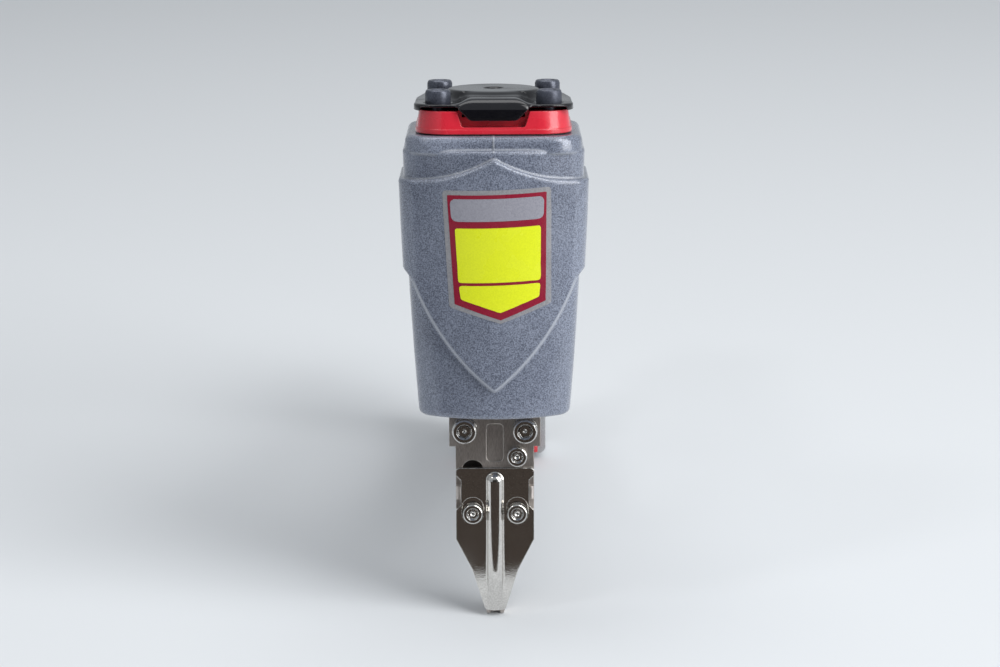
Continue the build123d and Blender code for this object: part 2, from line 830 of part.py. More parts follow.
# Head valve: a piston that lifts off the cylinder's top in its own insert
with BuildPart() as valve_insert:
    rod((0, 0, insert_low), UPWARD, insert_radius, band_top - insert_low)
    bore((0, 0, insert_low), UPWARD, insert_inner, band_top - insert_low)
    block(
        -visor_width / 2,
        visor_width / 2,
        -insert_radius,
        0,
        band_top - insert_window,
        band_top,
        Mode.SUBTRACT,
    )
save(valve_insert.part, "valve_insert")

valve_ring_height = valve_low + valve_height / 2
with BuildPart() as head_valve:
    rod((0, 0, valve_low), UPWARD, insert_inner - running_gap, valve_height)
    rod((0, 0, valve_top), UPWARD, valve_tube_radius, valve_tube_top - valve_top)
    bore((0, 0, valve_low), UPWARD, valve_tube_radius - valve_tube_wall, valve_tube_top - valve_low)
    with BuildSketch(level(valve_top)):
        Circle(head_spring_radius + head_spring_wire + slide_gap)
        Circle(head_spring_radius - head_spring_wire - slide_gap, mode=Mode.SUBTRACT)
    extrude(amount=-spring_pocket, mode=Mode.SUBTRACT)
    with BuildSketch(level(valve_low)):
        Circle(cylinder_outer + valve_seal_overlap + seat_gap)
        Circle(cylinder_radius - valve_seal_overlap - seat_gap, mode=Mode.SUBTRACT)
    extrude(amount=valve_seal_height - slide_gap, mode=Mode.SUBTRACT)
    ring_groove(level(valve_ring_height), insert_inner - running_gap, ring_wire)
save(head_valve.part, "head_valve")

with BuildPart() as head_valve_seal:
    with BuildSketch(level(valve_low - slide_gap)):
        Circle(cylinder_outer + valve_seal_overlap)
        Circle(cylinder_radius - valve_seal_overlap, mode=Mode.SUBTRACT)
    extrude(amount=valve_seal_height)
save(head_valve_seal.part, "head_valve_seal")

with BuildPart() as head_valve_ring:
    with Locations((0, 0, valve_ring_height)):
        add(seal_ring(insert_inner - running_gap, ring_wire))
save(head_valve_ring.part, "head_valve_ring")

head_spring_low = valve_top - spring_pocket
head_spring = coil_spring(
    "head_valve_spring",
    head_spring_radius,
    head_spring_wire,
    boss_ceiling - head_spring_low,
    head_spring_turns,
)
with BuildPart() as head_valve_spring:
    with Locations((0, 0, head_spring_low)):
        add(head_spring)
save(head_valve_spring.part, "head_valve_spring")

# Cylinder with its partition collar and return ports, the check band over them, and the bumper
collar_low = chamber_low + collar_rise
collar_middle = collar_low + collar_height / 2
check_height = bumper_top + piston_height + check_band_width
with BuildPart() as cylinder_sleeve:
    rod((0, 0, cylinder_low), UPWARD, cylinder_outer, cylinder_top - cylinder_low)
    rod((0, 0, collar_low), UPWARD, chamber_radius - seat_gap, collar_height)
    bore((0, 0, cylinder_low), UPWARD, cylinder_radius, cylinder_top - cylinder_low)
    ring_groove(level(collar_middle), chamber_radius - seat_gap, ring_wire)
    for height in (bumper_top + check_band_width / 2, check_height):
        with PolarLocations(0, port_count):
            with Locations(Location((0, 0, height), (0, 90, 0))):
                Cylinder(port_radius, chamber_radius, align=ON_TOP, mode=Mode.SUBTRACT)
save(cylinder_sleeve.part, "cylinder_sleeve")

with BuildPart() as collar_ring:
    with Locations((0, 0, collar_middle)):
        add(seal_ring(chamber_radius - seat_gap, ring_wire))
save(collar_ring.part, "collar_ring")

with BuildPart() as check_band:
    with BuildSketch(level(check_height)):
        Circle(cylinder_outer + check_band_thickness)
        Circle(cylinder_outer + seat_gap, mode=Mode.SUBTRACT)
    extrude(amount=check_band_width / 2, both=True)
save(check_band.part, "check_band")

with BuildPart() as bumper:
    rod((0, 0, cylinder_low), UPWARD, cylinder_radius - seat_gap, bumper_height)
    bore((0, 0, cylinder_low), UPWARD, driver_hole, bumper_height)
    bore(
        (0, 0, bumper_top),
        DOWNWARD,
        piston_boss_radius + 2 * free_gap,
        piston_boss_height,
    )
save(bumper.part, "bumper")

# Piston with its ring, the driver blade and the pin that holds the blade
piston_ring_height = piston_low + piston_height / 2
with BuildPart() as piston:
    rod((0, 0, piston_low), UPWARD, piston_radius, piston_height)
    rod((0, 0, piston_boss_low), UPWARD, piston_boss_radius, piston_boss_height)
    block(
        -blade_head / 2 - seat_gap,
        blade_head / 2 + seat_gap,
        -blade_thickness / 2 - seat_gap,
        blade_thickness / 2 + seat_gap,
        piston_boss_low,
        blade_top + seat_gap,
        Mode.SUBTRACT,
    )
    bore(
        (0, -piston_boss_radius, driver_pin_height),
        BACKWARD,
        driver_pin_radius + seat_gap,
        2 * piston_boss_radius,
    )
    ring_groove(level(piston_ring_height), piston_radius, ring_wire)
save(piston.part, "piston")

with BuildPart() as piston_ring:
    with Locations((0, 0, piston_ring_height)):
        add(seal_ring(piston_radius, ring_wire))
save(piston_ring.part, "piston_ring")

with BuildPart() as driver_blade:
    block(-blade_width / 2, blade_width / 2, -blade_thickness / 2, blade_thickness / 2, blade_low, blade_top)
    block(
        -blade_head / 2,
        blade_head / 2,
        -blade_thickness / 2,
        blade_thickness / 2,
        piston_boss_low,
        blade_top,
    )
    bore(
        (0, -blade_thickness, driver_pin_height),
        BACKWARD,
        driver_pin_radius + seat_gap,
        2 * blade_thickness,
    )
save(driver_blade.part, "driver_blade")

with BuildPart() as driver_pin:
    pin_reach = piston_boss_radius - driver_pin_radius
    rod((0, -pin_reach, driver_pin_height), BACKWARD, driver_pin_radius, 2 * pin_reach)
save(driver_pin.part, "driver_pin")

# Nose: the guide that carries the blade's channel, and the pointed plate that closes it
with BuildPart() as nose_guide:
    extrude(nose_outline(nose_length), amount=-(channel_half + guide_depth))
    block(
        -flange_width / 2,
        flange_width / 2,
        guide_front,
        guide_depth,
        nose_length - flange_height,
        nose_length,
    )
    block(
        -nose_width / 2,
        nose_width / 2,
        guide_front,
        guide_depth,
        plate_height + seat_gap,
        nose_length,
    )
    with BuildSketch(side_view(-nose_width / 2)):
        with BuildLine():
            Polyline((tip_depth, 0), (guide_depth, heel_height), (guide_depth, 0), close=True)
        make_face()
    extrude(amount=nose_width, mode=Mode.SUBTRACT)
    block(
        -blade_width / 2 - channel_gap,
        blade_width / 2 + channel_gap,
        -channel_half,
        channel_half,
        0,
        nose_length,
        Mode.SUBTRACT,
    )
    block(-half_slot, half_slot, 0, guide_depth, slot_low, slot_high, Mode.SUBTRACT)
    tab_low = (notch_low + notch_high - tab_height) / 2
    tab_inner = nose_width / 2 - notch_depth + channel_gap
    for side in (-1, 1):
        with BuildSketch(level(tab_low)) as tab:
            with Locations((side * (nose_width / 2 + tab_inner) / 2, plate_face / 2)):
                Rectangle(nose_width / 2 - tab_inner, -plate_face)
            fillet(tab.vertices().group_by(Axis.Y)[0].sort_by(Axis.X)[-1 if side > 0 else 0], tab_round)
        extrude(amount=tab_height)
    with BuildSketch(front_view(guide_front)):
        with Locations((0, (emboss_low + emboss_high) / 2)):
            RectangleRounded(rib_width, emboss_high - emboss_low, rib_width / 4)
    extrude(amount=-emboss_depth, mode=Mode.SUBTRACT)
    for x, z in plate_screw_places:
        bore((x, -channel_half, z), BACKWARD, m4 / 2 + seat_gap, guide_depth)
    for x, z in mount_screw_places:
        bore((x, guide_front, z), BACKWARD, m5 / 2 + seat_gap, guide_depth - guide_front)
    bore(
        (guide_screw_side, guide_front, guide_screw_height),
        BACKWARD,
        m4 / 2 + seat_gap,
        guide_depth - guide_front,
    )
    bore(
        (-guide_screw_side, guide_front, guide_hole_height),
        BACKWARD,
        guide_hole_diameter / 2,
        guide_depth - guide_front,
    )
save(nose_guide.part, "nose_guide")

# Rib of the plate: a bead of round section with a round upper end, which sinks into the plate at its foot
rib_radius = ((rib_width / 2) ** 2 + rib_rise**2) / (2 * rib_rise)
with BuildPart() as rib:
    rib_back = plate_face - rib_rise + rib_radius
    rib_top = rib_height - rib_width / 2
    rib_slope = degrees(atan2(rib_fade, knee_height))
    with BuildLine(side_view(0)) as rib_line:
        run = Line((rib_back, rib_top), (rib_back, knee_height))
        turn = JernArc(run @ 1, run % 1, rib_turn, rib_slope)
        PolarLine(turn @ 1, knee_height, direction=turn % 1)
    with BuildSketch(level(rib_top)):
        with Locations((0, rib_back)):
            Circle(rib_radius)
    sweep(path=rib_line.line)
    with Locations((0, rib_back, rib_top)):
        Sphere(rib_radius)
    block(-rib_width, rib_width, plate_face - rib_rise, plate_face, plate_low, nose_length, Mode.INTERSECT)

with BuildPart() as nose_plate:
    extrude(nose_outline(plate_height), amount=plate_thickness)
    block(-nose_width, nose_width, plate_face, 0, 0, plate_low, Mode.SUBTRACT)
    fillet(nose_plate.edges().filter_by(Axis.Y).group_by(Axis.Z)[0], plate_corner)
    fillet(nose_plate.edges().filter_by(Axis.Y).group_by(Axis.Z)[-1], plate_corner)
    for side in (-1, 1):
        with BuildSketch(front_view(-channel_half)) as notch:
            with BuildLine():
                Polyline(
                    (side * nose_width / 2, notch_low - notch_depth),
                    (side * (nose_width / 2 - notch_depth), notch_low),
                    (side * (nose_width / 2 - notch_depth), notch_high),
                    (side * nose_width / 2, notch_high + notch_depth),
                    close=True,
                )
            make_face()
        extrude(amount=plate_thickness, mode=Mode.SUBTRACT)
    add(rib.part)
    seam = nose_plate.edges().filter_by_position(Axis.Y, plate_face - channel_gap, plate_face + channel_gap)
    seam = seam.filter_by_position(Axis.X, -rib_width / 2 - channel_gap, rib_width / 2 + channel_gap)
    seam = seam.filter_by_position(Axis.Z, plate_low + channel_gap, rib_height + channel_gap, (False, True))
    fillet(seam, rib_blend)
    for x, z in plate_screw_places:
        with BuildSketch(front_view(plate_face)):
            with Locations((x, z + plate_slot_rise)):
                SlotOverall(plate_slot_length, m4_head + 2 * slide_gap, rotation=90)
        extrude(amount=-plate_recess, mode=Mode.SUBTRACT)
        bore((x, plate_face, z), BACKWARD, m4 / 2 + seat_gap, plate_thickness)
save(nose_plate.part, "nose_plate")

plate_screw = socket_screw(m4, m4_head, m4_head_height, plate_screw_length)
with BuildPart() as plate_screws:
    with Locations(*[facing((x, plate_seat, z), FORWARD) for x, z in plate_screw_places]):
        add(plate_screw)
save(plate_screws.part, "plate_screws")

mount_screw = socket_screw(m5, m5_head, m5_head_height, mount_screw_length)
washer_face = guide_front - washer_thickness
with BuildPart() as mount_screws:
    with Locations(*[facing((x, washer_face, z), FORWARD) for x, z in mount_screw_places]):
        add(mount_screw)
save(mount_screws.part, "mount_screws")

with BuildPart() as mount_washers:
    with BuildSketch(front_view(guide_front)):
        with Locations(*mount_screw_places):
            Circle(m5_head / 2)
            Circle(m5 / 2 + seat_gap, mode=Mode.SUBTRACT)
        with Locations(*[(x, z + m5 / 2) for x, z in mount_screw_places]):
            Rectangle(washer_cut, m5, rotation=washer_slant, mode=Mode.SUBTRACT)
    extrude(amount=washer_thickness)
save(mount_washers.part, "mount_washers")

rail_screw_front = socket_screw(m4, m4_head, m4_head_height, guide_screw_length)
with BuildPart() as guide_screw:
    with Locations(facing((guide_screw_side, guide_front, guide_screw_height), FORWARD)):
        add(rail_screw_front)
save(guide_screw.part, "guide_screw")

# Magazine rail: the fixed half, whose base and top hold the sliding cover behind their lips
with BuildPart() as magazine_rail:
    with BuildSketch(front_view(guide_depth)):
        with Locations((0, (magazine_low + magazine_high) / 2)):
            RectangleRounded(magazine_width, magazine_high - magazine_low, magazine_corner)
        with Locations((half_slot, slot_middle)):
            Rectangle(
                half_magazine + half_slot,
                slot_high - slot_low,
                align=(Align.MAX, Align.CENTER),
                mode=Mode.SUBTRACT,
            )
        with Locations((-half_magazine, slot_low)):
            Rectangle(lip_width, lip_height, align=(Align.MIN, Align.MIN))
        with Locations((-half_magazine, slot_high)):
            Rectangle(lip_width, lip_height, align=(Align.MIN, Align.MAX))
        with Locations((half_magazine, slot_middle)):
            Rectangle(
                rail_groove_depth,
                rail_groove_height,
                align=(Align.MAX, Align.CENTER),
                mode=Mode.SUBTRACT,
            )
    extrude(amount=guide_depth - magazine_rear)
    guide_screw_reach = guide_screw_length - guide_depth + guide_front
    bore(
        (guide_screw_side, guide_depth, guide_screw_height),
        BACKWARD,
        m4 / 2 + seat_gap,
        guide_screw_reach + free_gap,
    )
    for y, z in rail_screw_places:
        bore((half_magazine - rail_screw_thread, y, z), RIGHTWARD, m4 / 2 + seat_gap, rail_screw_thread)
save(magazine_rail.part, "magazine_rail")

# Sliding cover with the pocket that the pusher runs in, and the pull at its rear end
with BuildPart() as magazine_cover:
    with BuildSketch(front_view(guide_depth + slide_gap)):
        with Locations((-half_slot, slot_middle)):
            Rectangle(half_magazine - half_slot, cover_high - cover_low, align=(Align.MAX, Align.CENTER))
        for height, end in ((cover_low, Align.MIN), (cover_high, Align.MAX)):
            with Locations((-half_magazine, height)):
                Rectangle(lip_width + slide_gap, lip_height, align=(Align.MIN, end), mode=Mode.SUBTRACT)
        with Locations(*[(-half_magazine, slot_middle + end * cover_groove_spread / 2) for end in (-1, 1)]):
            Rectangle(
                cover_groove_depth,
                cover_groove_height,
                align=(Align.MIN, Align.CENTER),
                mode=Mode.SUBTRACT,
            )
    extrude(amount=guide_depth + slide_gap - magazine_rear)
    block(
        -pocket_side,
        0,
        pocket_start,
        pocket_end,
        slot_middle - pocket_height / 2,
        slot_middle + pocket_height / 2,
        Mode.SUBTRACT,
    )
    hook_open = latch_hook_back - slide_travel
    block(
        -half_magazine,
        0,
        hook_open - detent_gap,
        hook_open + latch_hook_length + detent_gap,
        cover_low,
        cover_low + detent_depth,
        Mode.SUBTRACT,
    )
    pull_place = (-half_magazine / 2, magazine_rear, rail_screw_high)
    bore(pull_place, FORWARD, m4 / 2 + seat_gap, pull_screw_length - pull_length / 2)
save(magazine_cover.part, "magazine_cover")

with BuildPart() as cover_pull:
    block(
        -half_magazine - pull_overhang,
        -half_slot,
        magazine_rear,
        magazine_rear + pull_length,
        slot_low + pull_lift,
        magazine_high,
    )
    fillet(cover_pull.edges().filter_by(Axis.Z).sort_by(Axis.Y)[-2:], edge_round)
    fillet(cover_pull.faces().sort_by(Axis.Z)[-1].edges(), edge_round / 2)
    pull_head = (-half_magazine / 2, magazine_rear + pull_length, rail_screw_high)
    bore(pull_head, FORWARD, m4 / 2 + seat_gap, pull_length)
    bore(pull_head, FORWARD, m4_head / 2 + slide_gap, pull_length / 2)
save(cover_pull.part, "cover_pull")

pull_bolt = socket_screw(m4, m4_head, m4_head_height, pull_screw_length - pull_length / 2)
with BuildPart() as pull_screw:
    with Locations(facing((-half_magazine / 2, magazine_rear + pull_length / 2, rail_screw_high), BACKWARD)):
        add(pull_bolt)
save(pull_screw.part, "pull_screw")

# Pusher: a blade in the nail slot, on a slide that carries its rolled spring in the cover's pocket
pusher_half = pocket_height / 2 - slide_gap
pusher_outer = pocket_side - slide_gap
roll_outer = roll_inner + roll_turns * roll_pitch
with BuildPart() as pusher:
    blade_half = half_slot - slide_gap
    block(
        -blade_half,
        blade_half,
        pusher_nose,
        pusher_start + pusher_length,
        slot_low + free_gap,
        slot_high - free_gap,
    )
    block(
        -pusher_outer,
        blade_half,
        pusher_start,
        pusher_start + pusher_length,
        slot_middle - pusher_half,
        slot_middle + pusher_half,
    )
    with BuildSketch(side_view(-pusher_outer)):
        with Locations((roll_back, slot_middle)):
            Circle(roll_outer + free_gap)
            Circle(roll_inner - free_gap, mode=Mode.SUBTRACT)
        with Locations((roll_back, slot_middle + roll_outer)):
            Rectangle(roll_back, strip_slot, align=(Align.MAX, Align.CENTER))
    extrude(amount=roll_width + 2 * free_gap, mode=Mode.SUBTRACT)
save(pusher.part, "pusher")

with BuildPart() as pusher_spring:
    with BuildSketch(side_view(free_gap - pusher_outer)):
        with BuildLine():
            for half in range(2 * roll_turns):
                sign = -1 if half % 2 else 1
                radius = roll_inner + half * roll_pitch / 2
                after = radius + roll_pitch / 2
                ThreePointArc(
                    (roll_back, slot_middle + sign * radius),
                    (roll_back - sign * (radius + after) / 2, slot_middle + sign * (radius - after) / 2),
                    (roll_back, slot_middle - sign * after),
                )
            Line((roll_back, slot_middle + roll_outer), (pocket_start + slide_gap, slot_middle + roll_outer))
        trace(line_width=roll_strip)
    extrude(amount=roll_width)
save(pusher_spring.part, "pusher_spring")

# Rear bracket: a fork that straddles the magazine and hangs from the handle's end
with BuildPart() as rear_bracket:
    with BuildSketch(front_view(handle_end)) as fork:
        with Locations((-bracket_left, bracket_bottom)):
            Rectangle(
                bracket_width, bridge_low + bracket_sheet - bracket_bottom, align=(Align.MIN, Align.MIN)
            )
        fillet(fork.vertices(), bracket_corner)
        with Locations((half_magazine, bracket_bottom)):
            Rectangle(
                half_magazine + cheek_inner,
                bridge_low - bracket_bottom,
                align=(Align.MAX, Align.MIN),
                mode=Mode.SUBTRACT,
            )
    extrude(amount=handle_end - bracket_front)
    column_front = handle_end - bracket_column_depth
    block(
        -bracket_column_width / 2,
        bracket_column_width / 2,
        column_front,
        handle_end,
        bridge_low,
        bracket_top,
    )
    block(
        -boss_half_width,
        boss_half_width,
        bracket_front,
        handle_end,
        bracket_top - bracket_sheet,
        bracket_top,
    )
    column_edges = rear_bracket.edges().filter_by(Axis.X)
    column_edges = column_edges.filter_by_position(Axis.Y, column_front - seat_gap, column_front + seat_gap)
    fillet(column_edges, edge_round)
    for x, y in bracket_screw_places:
        bore((x, y, bracket_top - bracket_sheet), UPWARD, m4 / 2 + seat_gap, bracket_sheet)
    for y, z in rail_screw_places:
        bore((half_slot, y, z), RIGHTWARD, m4 / 2 + seat_gap, bracket_right)
        bore((bracket_right - m4_head_height, y, z), RIGHTWARD, m4_head / 2 + slide_gap, m4_head_height)
    bore((-bracket_left, latch_back, latch_height), RIGHTWARD, pin_radius + running_gap, bracket_width)
save(rear_bracket.part, "rear_bracket")

bracket_screw = socket_screw(m4, m4_head, m4_head_height, bracket_sheet + bracket_screw_length - free_gap)
with BuildPart() as bracket_screws:
    with Locations(*[facing((x, y, bracket_top - bracket_sheet), DOWNWARD) for x, y in bracket_screw_places]):
        add(bracket_screw)
save(bracket_screws.part, "bracket_screws")

rail_screw = socket_screw(m4, m4_head, m4_head_height, rail_screw_length)
rail_screw_seat = bracket_right - m4_head_height
with BuildPart() as rail_screws:
    with Locations(*[facing((rail_screw_seat, y, z), RIGHTWARD) for y, z in rail_screw_places]):
        add(rail_screw)
save(rail_screws.part, "rail_screws")

# Latch: a lever under the magazine with a wide finger tab in front and a hook behind the cover
with BuildPart() as latch_lever:
    block(-latch_width / 2, latch_width / 2, latch_front, latch_hook_back, latch_low, latch_top)
    block(
        -latch_tab_left,
        latch_tab_right,
        latch_front,
        latch_front + latch_tab_length,
        latch_low,
        latch_top,
    )
    fillet(latch_lever.edges().filter_by(Axis.Z).sort_by(Axis.Y)[:2], edge_round)
    hub_length = magazine_width - 2 * slide_gap
    rod((-hub_length / 2, latch_back, latch_height), RIGHTWARD, latch_hub, hub_length)
    block(
        -latch_width / 2,
        latch_width / 2,
        latch_hook_back,
        latch_hook_back + latch_hook_length,
        latch_low,
        cover_low - free_gap,
    )
    bore((-bracket_left, latch_back, latch_height), RIGHTWARD, pin_radius + running_gap, bracket_width)
    bore(
        (0, bracket_front, latch_top),
        DOWNWARD,
        latch_spring_radius + latch_spring_wire + slide_gap,
        latch_spring_pocket,
    )
save(latch_lever.part, "latch_lever")

with BuildPart() as latch_pin:
    rod((-bracket_left, latch_back, latch_height), RIGHTWARD, pin_radius, bracket_width)
save(latch_pin.part, "latch_pin")

latch_spring_low = latch_top - latch_spring_pocket
latch_coil = coil_spring(
    "latch_spring",
    latch_spring_radius,
    latch_spring_wire,
    magazine_low - latch_spring_low,
    latch_spring_turns,
)
with BuildPart() as latch_spring:
    with Locations((0, bracket_front, latch_spring_low)):
        add(latch_coil)
save(latch_spring.part, "latch_spring")

# Trigger on its pin between the housing's ears
trigger_toe_back = pivot_back + trigger_reach
trigger_toe_low = lever_top - trigger_drop
with BuildPart() as trigger:
    with BuildSketch(side_view(-trigger_half_width)) as lever:
        with BuildLine():
            Polyline(
                (pivot_back, pivot_height - trigger_hub),
                (pivot_back, lever_top),
                (trigger_toe_back - trigger_depth, lever_top),
                (trigger_toe_back, trigger_toe_low),
                (trigger_toe_back - trigger_toe, trigger_toe_low),
            )
            ThreePointArc(
                (trigger_toe_back - trigger_toe, trigger_toe_low),
                (trigger_toe_back - trigger_curve_back, lever_top - trigger_curve_drop),
                (pivot_back, pivot_height - trigger_hub),
            )
        make_face()
        fillet(lever.vertices().group_by(Axis.Y)[0], trigger_round)
        with Locations((pivot_back, pivot_height)):
            Circle(trigger_hub)
    extrude(amount=2 * trigger_half_width)
    bore((-trigger_half_width, pivot_back, pivot_height), RIGHTWARD, pin_radius + running_gap, magazine_width)
save(trigger.part, "trigger")

pin_half = ear_inner + ear_thickness + clip_thickness + pin_end
clip_sides = (ear_inner + ear_thickness + seat_gap, -ear_inner - ear_thickness - seat_gap - clip_thickness)
with BuildPart() as trigger_pin:
    rod((-pin_half, pivot_back, pivot_height), RIGHTWARD, pin_radius, 2 * pin_half)
    for side in clip_sides:
        with BuildSketch(side_view(side - seat_gap)):
            with Locations((pivot_back, pivot_height)):
                Circle(pin_radius + seat_gap)
                Circle(pin_radius - clip_bite, mode=Mode.SUBTRACT)
        extrude(amount=clip_thickness + 2 * seat_gap, mode=Mode.SUBTRACT)
save(trigger_pin.part, "trigger_pin")

with BuildPart() as pin_clips:
    for side in clip_sides:
        with BuildSketch(side_view(side)):
            with Locations((pivot_back, pivot_height)):
                Circle(pin_radius + clip_width)
                Circle(pin_radius - clip_bite + seat_gap, mode=Mode.SUBTRACT)
            with Locations((pivot_back + pin_radius, pivot_height)):
                Rectangle(2 * pin_radius, pin_radius, mode=Mode.SUBTRACT)
        extrude(amount=clip_thickness)
save(pin_clips.part, "pin_clips")

# Trigger valve: body, seal rings, stem and spring, held in the handle's root by a clip
valve_ring_places = [(0, valve_back, valve_body_low + rise) for rise in valve_ring_rises]
with BuildPart() as trigger_valve_body:
    rod((0, valve_back, valve_body_low), UPWARD, valve_radius - seat_gap, valve_length)
    bore((0, valve_back, valve_body_low), UPWARD, stem_radius + running_gap, valve_floor)
    bore((0, valve_back, valve_chamber_low), UPWARD, valve_chamber_radius, valve_chamber_length)
    bore((0, valve_back, valve_chamber_low), UPWARD, stem_guide_radius + running_gap, valve_length)
    for place in valve_ring_places:
        ring_groove(facing(place, UPWARD), valve_radius - seat_gap, valve_ring_wire)
save(trigger_valve_body.part, "trigger_valve_body")

with BuildPart() as valve_rings:
    with Locations(*valve_ring_places):
        add(seal_ring(valve_radius - seat_gap, valve_ring_wire))
save(valve_rings.part, "valve_rings")

with BuildPart() as trigger_valve_stem:
    rod((0, valve_back, stem_low), UPWARD, stem_radius, stem_head_low - stem_low)
    rod((0, valve_back, stem_head_low), UPWARD, stem_head_radius, stem_head_height)
    rod((0, valve_back, stem_head_top), UPWARD, stem_guide_radius, valve_chamber_length)
    fillet(trigger_valve_stem.faces().sort_by(Axis.Z)[0].edges(), stem_radius / 2)
save(trigger_valve_stem.part, "trigger_valve_stem")

valve_coil = coil_spring(
    "trigger_valve_spring",
    valve_spring_radius,
    valve_spring_wire,
    valve_chamber_low + valve_chamber_length - stem_head_top,
    valve_spring_turns,
)
with BuildPart() as trigger_valve_spring:
    with Locations((0, valve_back, stem_head_top)):
        add(valve_coil)
save(trigger_valve_spring.part, "trigger_valve_spring")

with BuildPart() as valve_clip:
    with BuildSketch(level(clip_low)):
        with Locations((0, valve_back)):
            Circle(valve_radius + clip_bite)
            Circle(valve_radius + clip_bite - clip_width, mode=Mode.SUBTRACT)
        with Locations((0, valve_back + valve_radius)):
            Rectangle(2 * clip_width, 2 * clip_width, mode=Mode.SUBTRACT)
    extrude(amount=clip_thickness)
save(valve_clip.part, "valve_clip")

# Rear end: cap, seal ring, screws, inlet screen and air plug
spigot_front = handle_end - end_spigot
end_face = handle_end + end_cap_length
end_ring_place = (0, handle_end - end_spigot / 2, handle_axis)
with BuildPart() as end_cap:
    handle_block(end_width, end_height, end_corner, handle_end, end_face)
    fillet(end_cap.faces().sort_by(Axis.Y)[-1].edges(), edge_round)
    rod((0, spigot_front, handle_axis), BACKWARD, air_radius - seat_gap, end_spigot)
    bore((0, spigot_front, handle_axis), BACKWARD, inlet_radius + seat_gap, end_face - spigot_front)
    bore((0, spigot_front, handle_axis), BACKWARD, screen_radius + seat_gap, screen_thickness)
    ring_groove(facing(end_ring_place, BACKWARD), air_radius - seat_gap, ring_wire)
    for x, y, z in end_screw_places:
        bore((x, y, z), BACKWARD, m4 / 2 + seat_gap, end_cap_length)
        bore((x, end_face, z), FORWARD, m4_head / 2 + slide_gap, m4_head_height)
save(end_cap.part, "end_cap")

with BuildPart() as end_cap_ring:
    with Locations(facing(end_ring_place, BACKWARD)):
        add(seal_ring(air_radius - seat_gap, ring_wire))
save(end_cap_ring.part, "end_cap_ring")

end_screw_seat = end_face - m4_head_height
end_screw_shank = end_screw_seat - handle_end + end_screw_length - free_gap
end_screw = socket_screw(m4, m4_head, m4_head_height, end_screw_shank)
with BuildPart() as end_cap_screws:
    with Locations(*[facing((x, end_screw_seat, z), BACKWARD) for x, y, z in end_screw_places]):
        add(end_screw)
save(end_cap_screws.part, "end_cap_screws")

with BuildPart() as inlet_screen:
    rod((0, spigot_front, handle_axis), BACKWARD, screen_radius, screen_thickness)
save(inlet_screen.part, "inlet_screen")

neck_start = end_face + plug_hex_length
land_start = neck_start + plug_neck_length
tip_start = land_start + plug_land_length
tip_end = tip_start + plug_tip_length
with BuildPart() as air_plug:
    rod((0, end_face - plug_thread, handle_axis), BACKWARD, inlet_radius, plug_thread)
    with BuildSketch(front_view(end_face)):
        with Locations((0, handle_axis)):
            RegularPolygon(plug_hex / 2, 6, major_radius=False)
    extrude(amount=-plug_hex_length)
    rod((0, neck_start, handle_axis), BACKWARD, plug_neck_radius, plug_neck_length)
    rod((0, land_start, handle_axis), BACKWARD, plug_land_radius, plug_land_length)
    chamfer(air_plug.edges().filter_by(GeomType.CIRCLE).sort_by(Axis.Y)[-2:], plug_land_length / 5)
    rod((0, tip_start, handle_axis), BACKWARD, plug_tip_radius, plug_tip_length)
    bore((0, end_face - plug_thread, handle_axis), BACKWARD, plug_bore, tip_end - end_face + plug_thread)
save(air_plug.part, "air_plug")
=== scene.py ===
"""Looks of a pneumatic brad nailer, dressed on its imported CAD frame.

Everything is in metres in the frame of the CAD part: the nose tip stands at the origin, +X is to the
right of the viewer, -Y is the front and +Z is up. Sizes of pieces that lie on the tool are in
millimetres of the tool's own upright frame, which leans back by a few degrees in the part's frame.
"""

import json
import logging
import math
from dataclasses import dataclass
from enum import Enum
from typing import Any, Callable, Sequence

import bpy
from mathutils import Matrix, Vector


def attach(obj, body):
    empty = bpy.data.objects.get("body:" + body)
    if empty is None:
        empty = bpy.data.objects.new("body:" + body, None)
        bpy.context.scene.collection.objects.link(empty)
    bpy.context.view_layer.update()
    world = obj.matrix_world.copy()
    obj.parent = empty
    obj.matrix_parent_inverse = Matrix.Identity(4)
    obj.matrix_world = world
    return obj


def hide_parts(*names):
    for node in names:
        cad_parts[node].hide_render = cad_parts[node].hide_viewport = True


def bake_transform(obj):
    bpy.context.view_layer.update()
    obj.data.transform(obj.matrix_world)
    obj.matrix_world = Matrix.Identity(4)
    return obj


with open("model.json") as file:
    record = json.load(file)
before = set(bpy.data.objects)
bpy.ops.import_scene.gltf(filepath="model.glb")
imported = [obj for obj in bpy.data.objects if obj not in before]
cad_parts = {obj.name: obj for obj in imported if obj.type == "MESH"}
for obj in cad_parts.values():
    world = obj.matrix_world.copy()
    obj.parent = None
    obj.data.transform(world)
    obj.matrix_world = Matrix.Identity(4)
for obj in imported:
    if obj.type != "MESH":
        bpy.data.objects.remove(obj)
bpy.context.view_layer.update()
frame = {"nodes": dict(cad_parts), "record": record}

LOG = logging.getLogger("nailer")
MM = 0.001
# Places closer than this are one
SAME_SPOT = 0.001 * MM

# The tool leans back until the heel of its nose and the foot of the rear bracket stand on the floor
NOSE_HEEL = 2.5
BRACKET_REAR = 178.0
BRACKET_FOOT = 21.8
LEAN = math.atan2(BRACKET_FOOT, BRACKET_REAR - NOSE_HEEL)
STAND = Matrix.Rotation(-LEAN, 4, "X") @ Matrix.Translation((0.0, -NOSE_HEEL * MM, 0.0))

Colour = tuple[float, float, float]
Point = tuple[float, float]
Place = tuple[float, float, float]
Piece = bpy.types.Object
Socket = bpy.types.NodeSocket
Tree = bpy.types.NodeTree


class Grain(Enum):
    """Kinds of fine surface texture that a finish can carry."""

    HAMMER = "hammered paint"
    CAST = "cast or blasted skin"
    BRUSHED = "drawn or ground lines"
    ORANGE_PEEL = "sprayed enamel"
    STIPPLE = "moulded stipple"


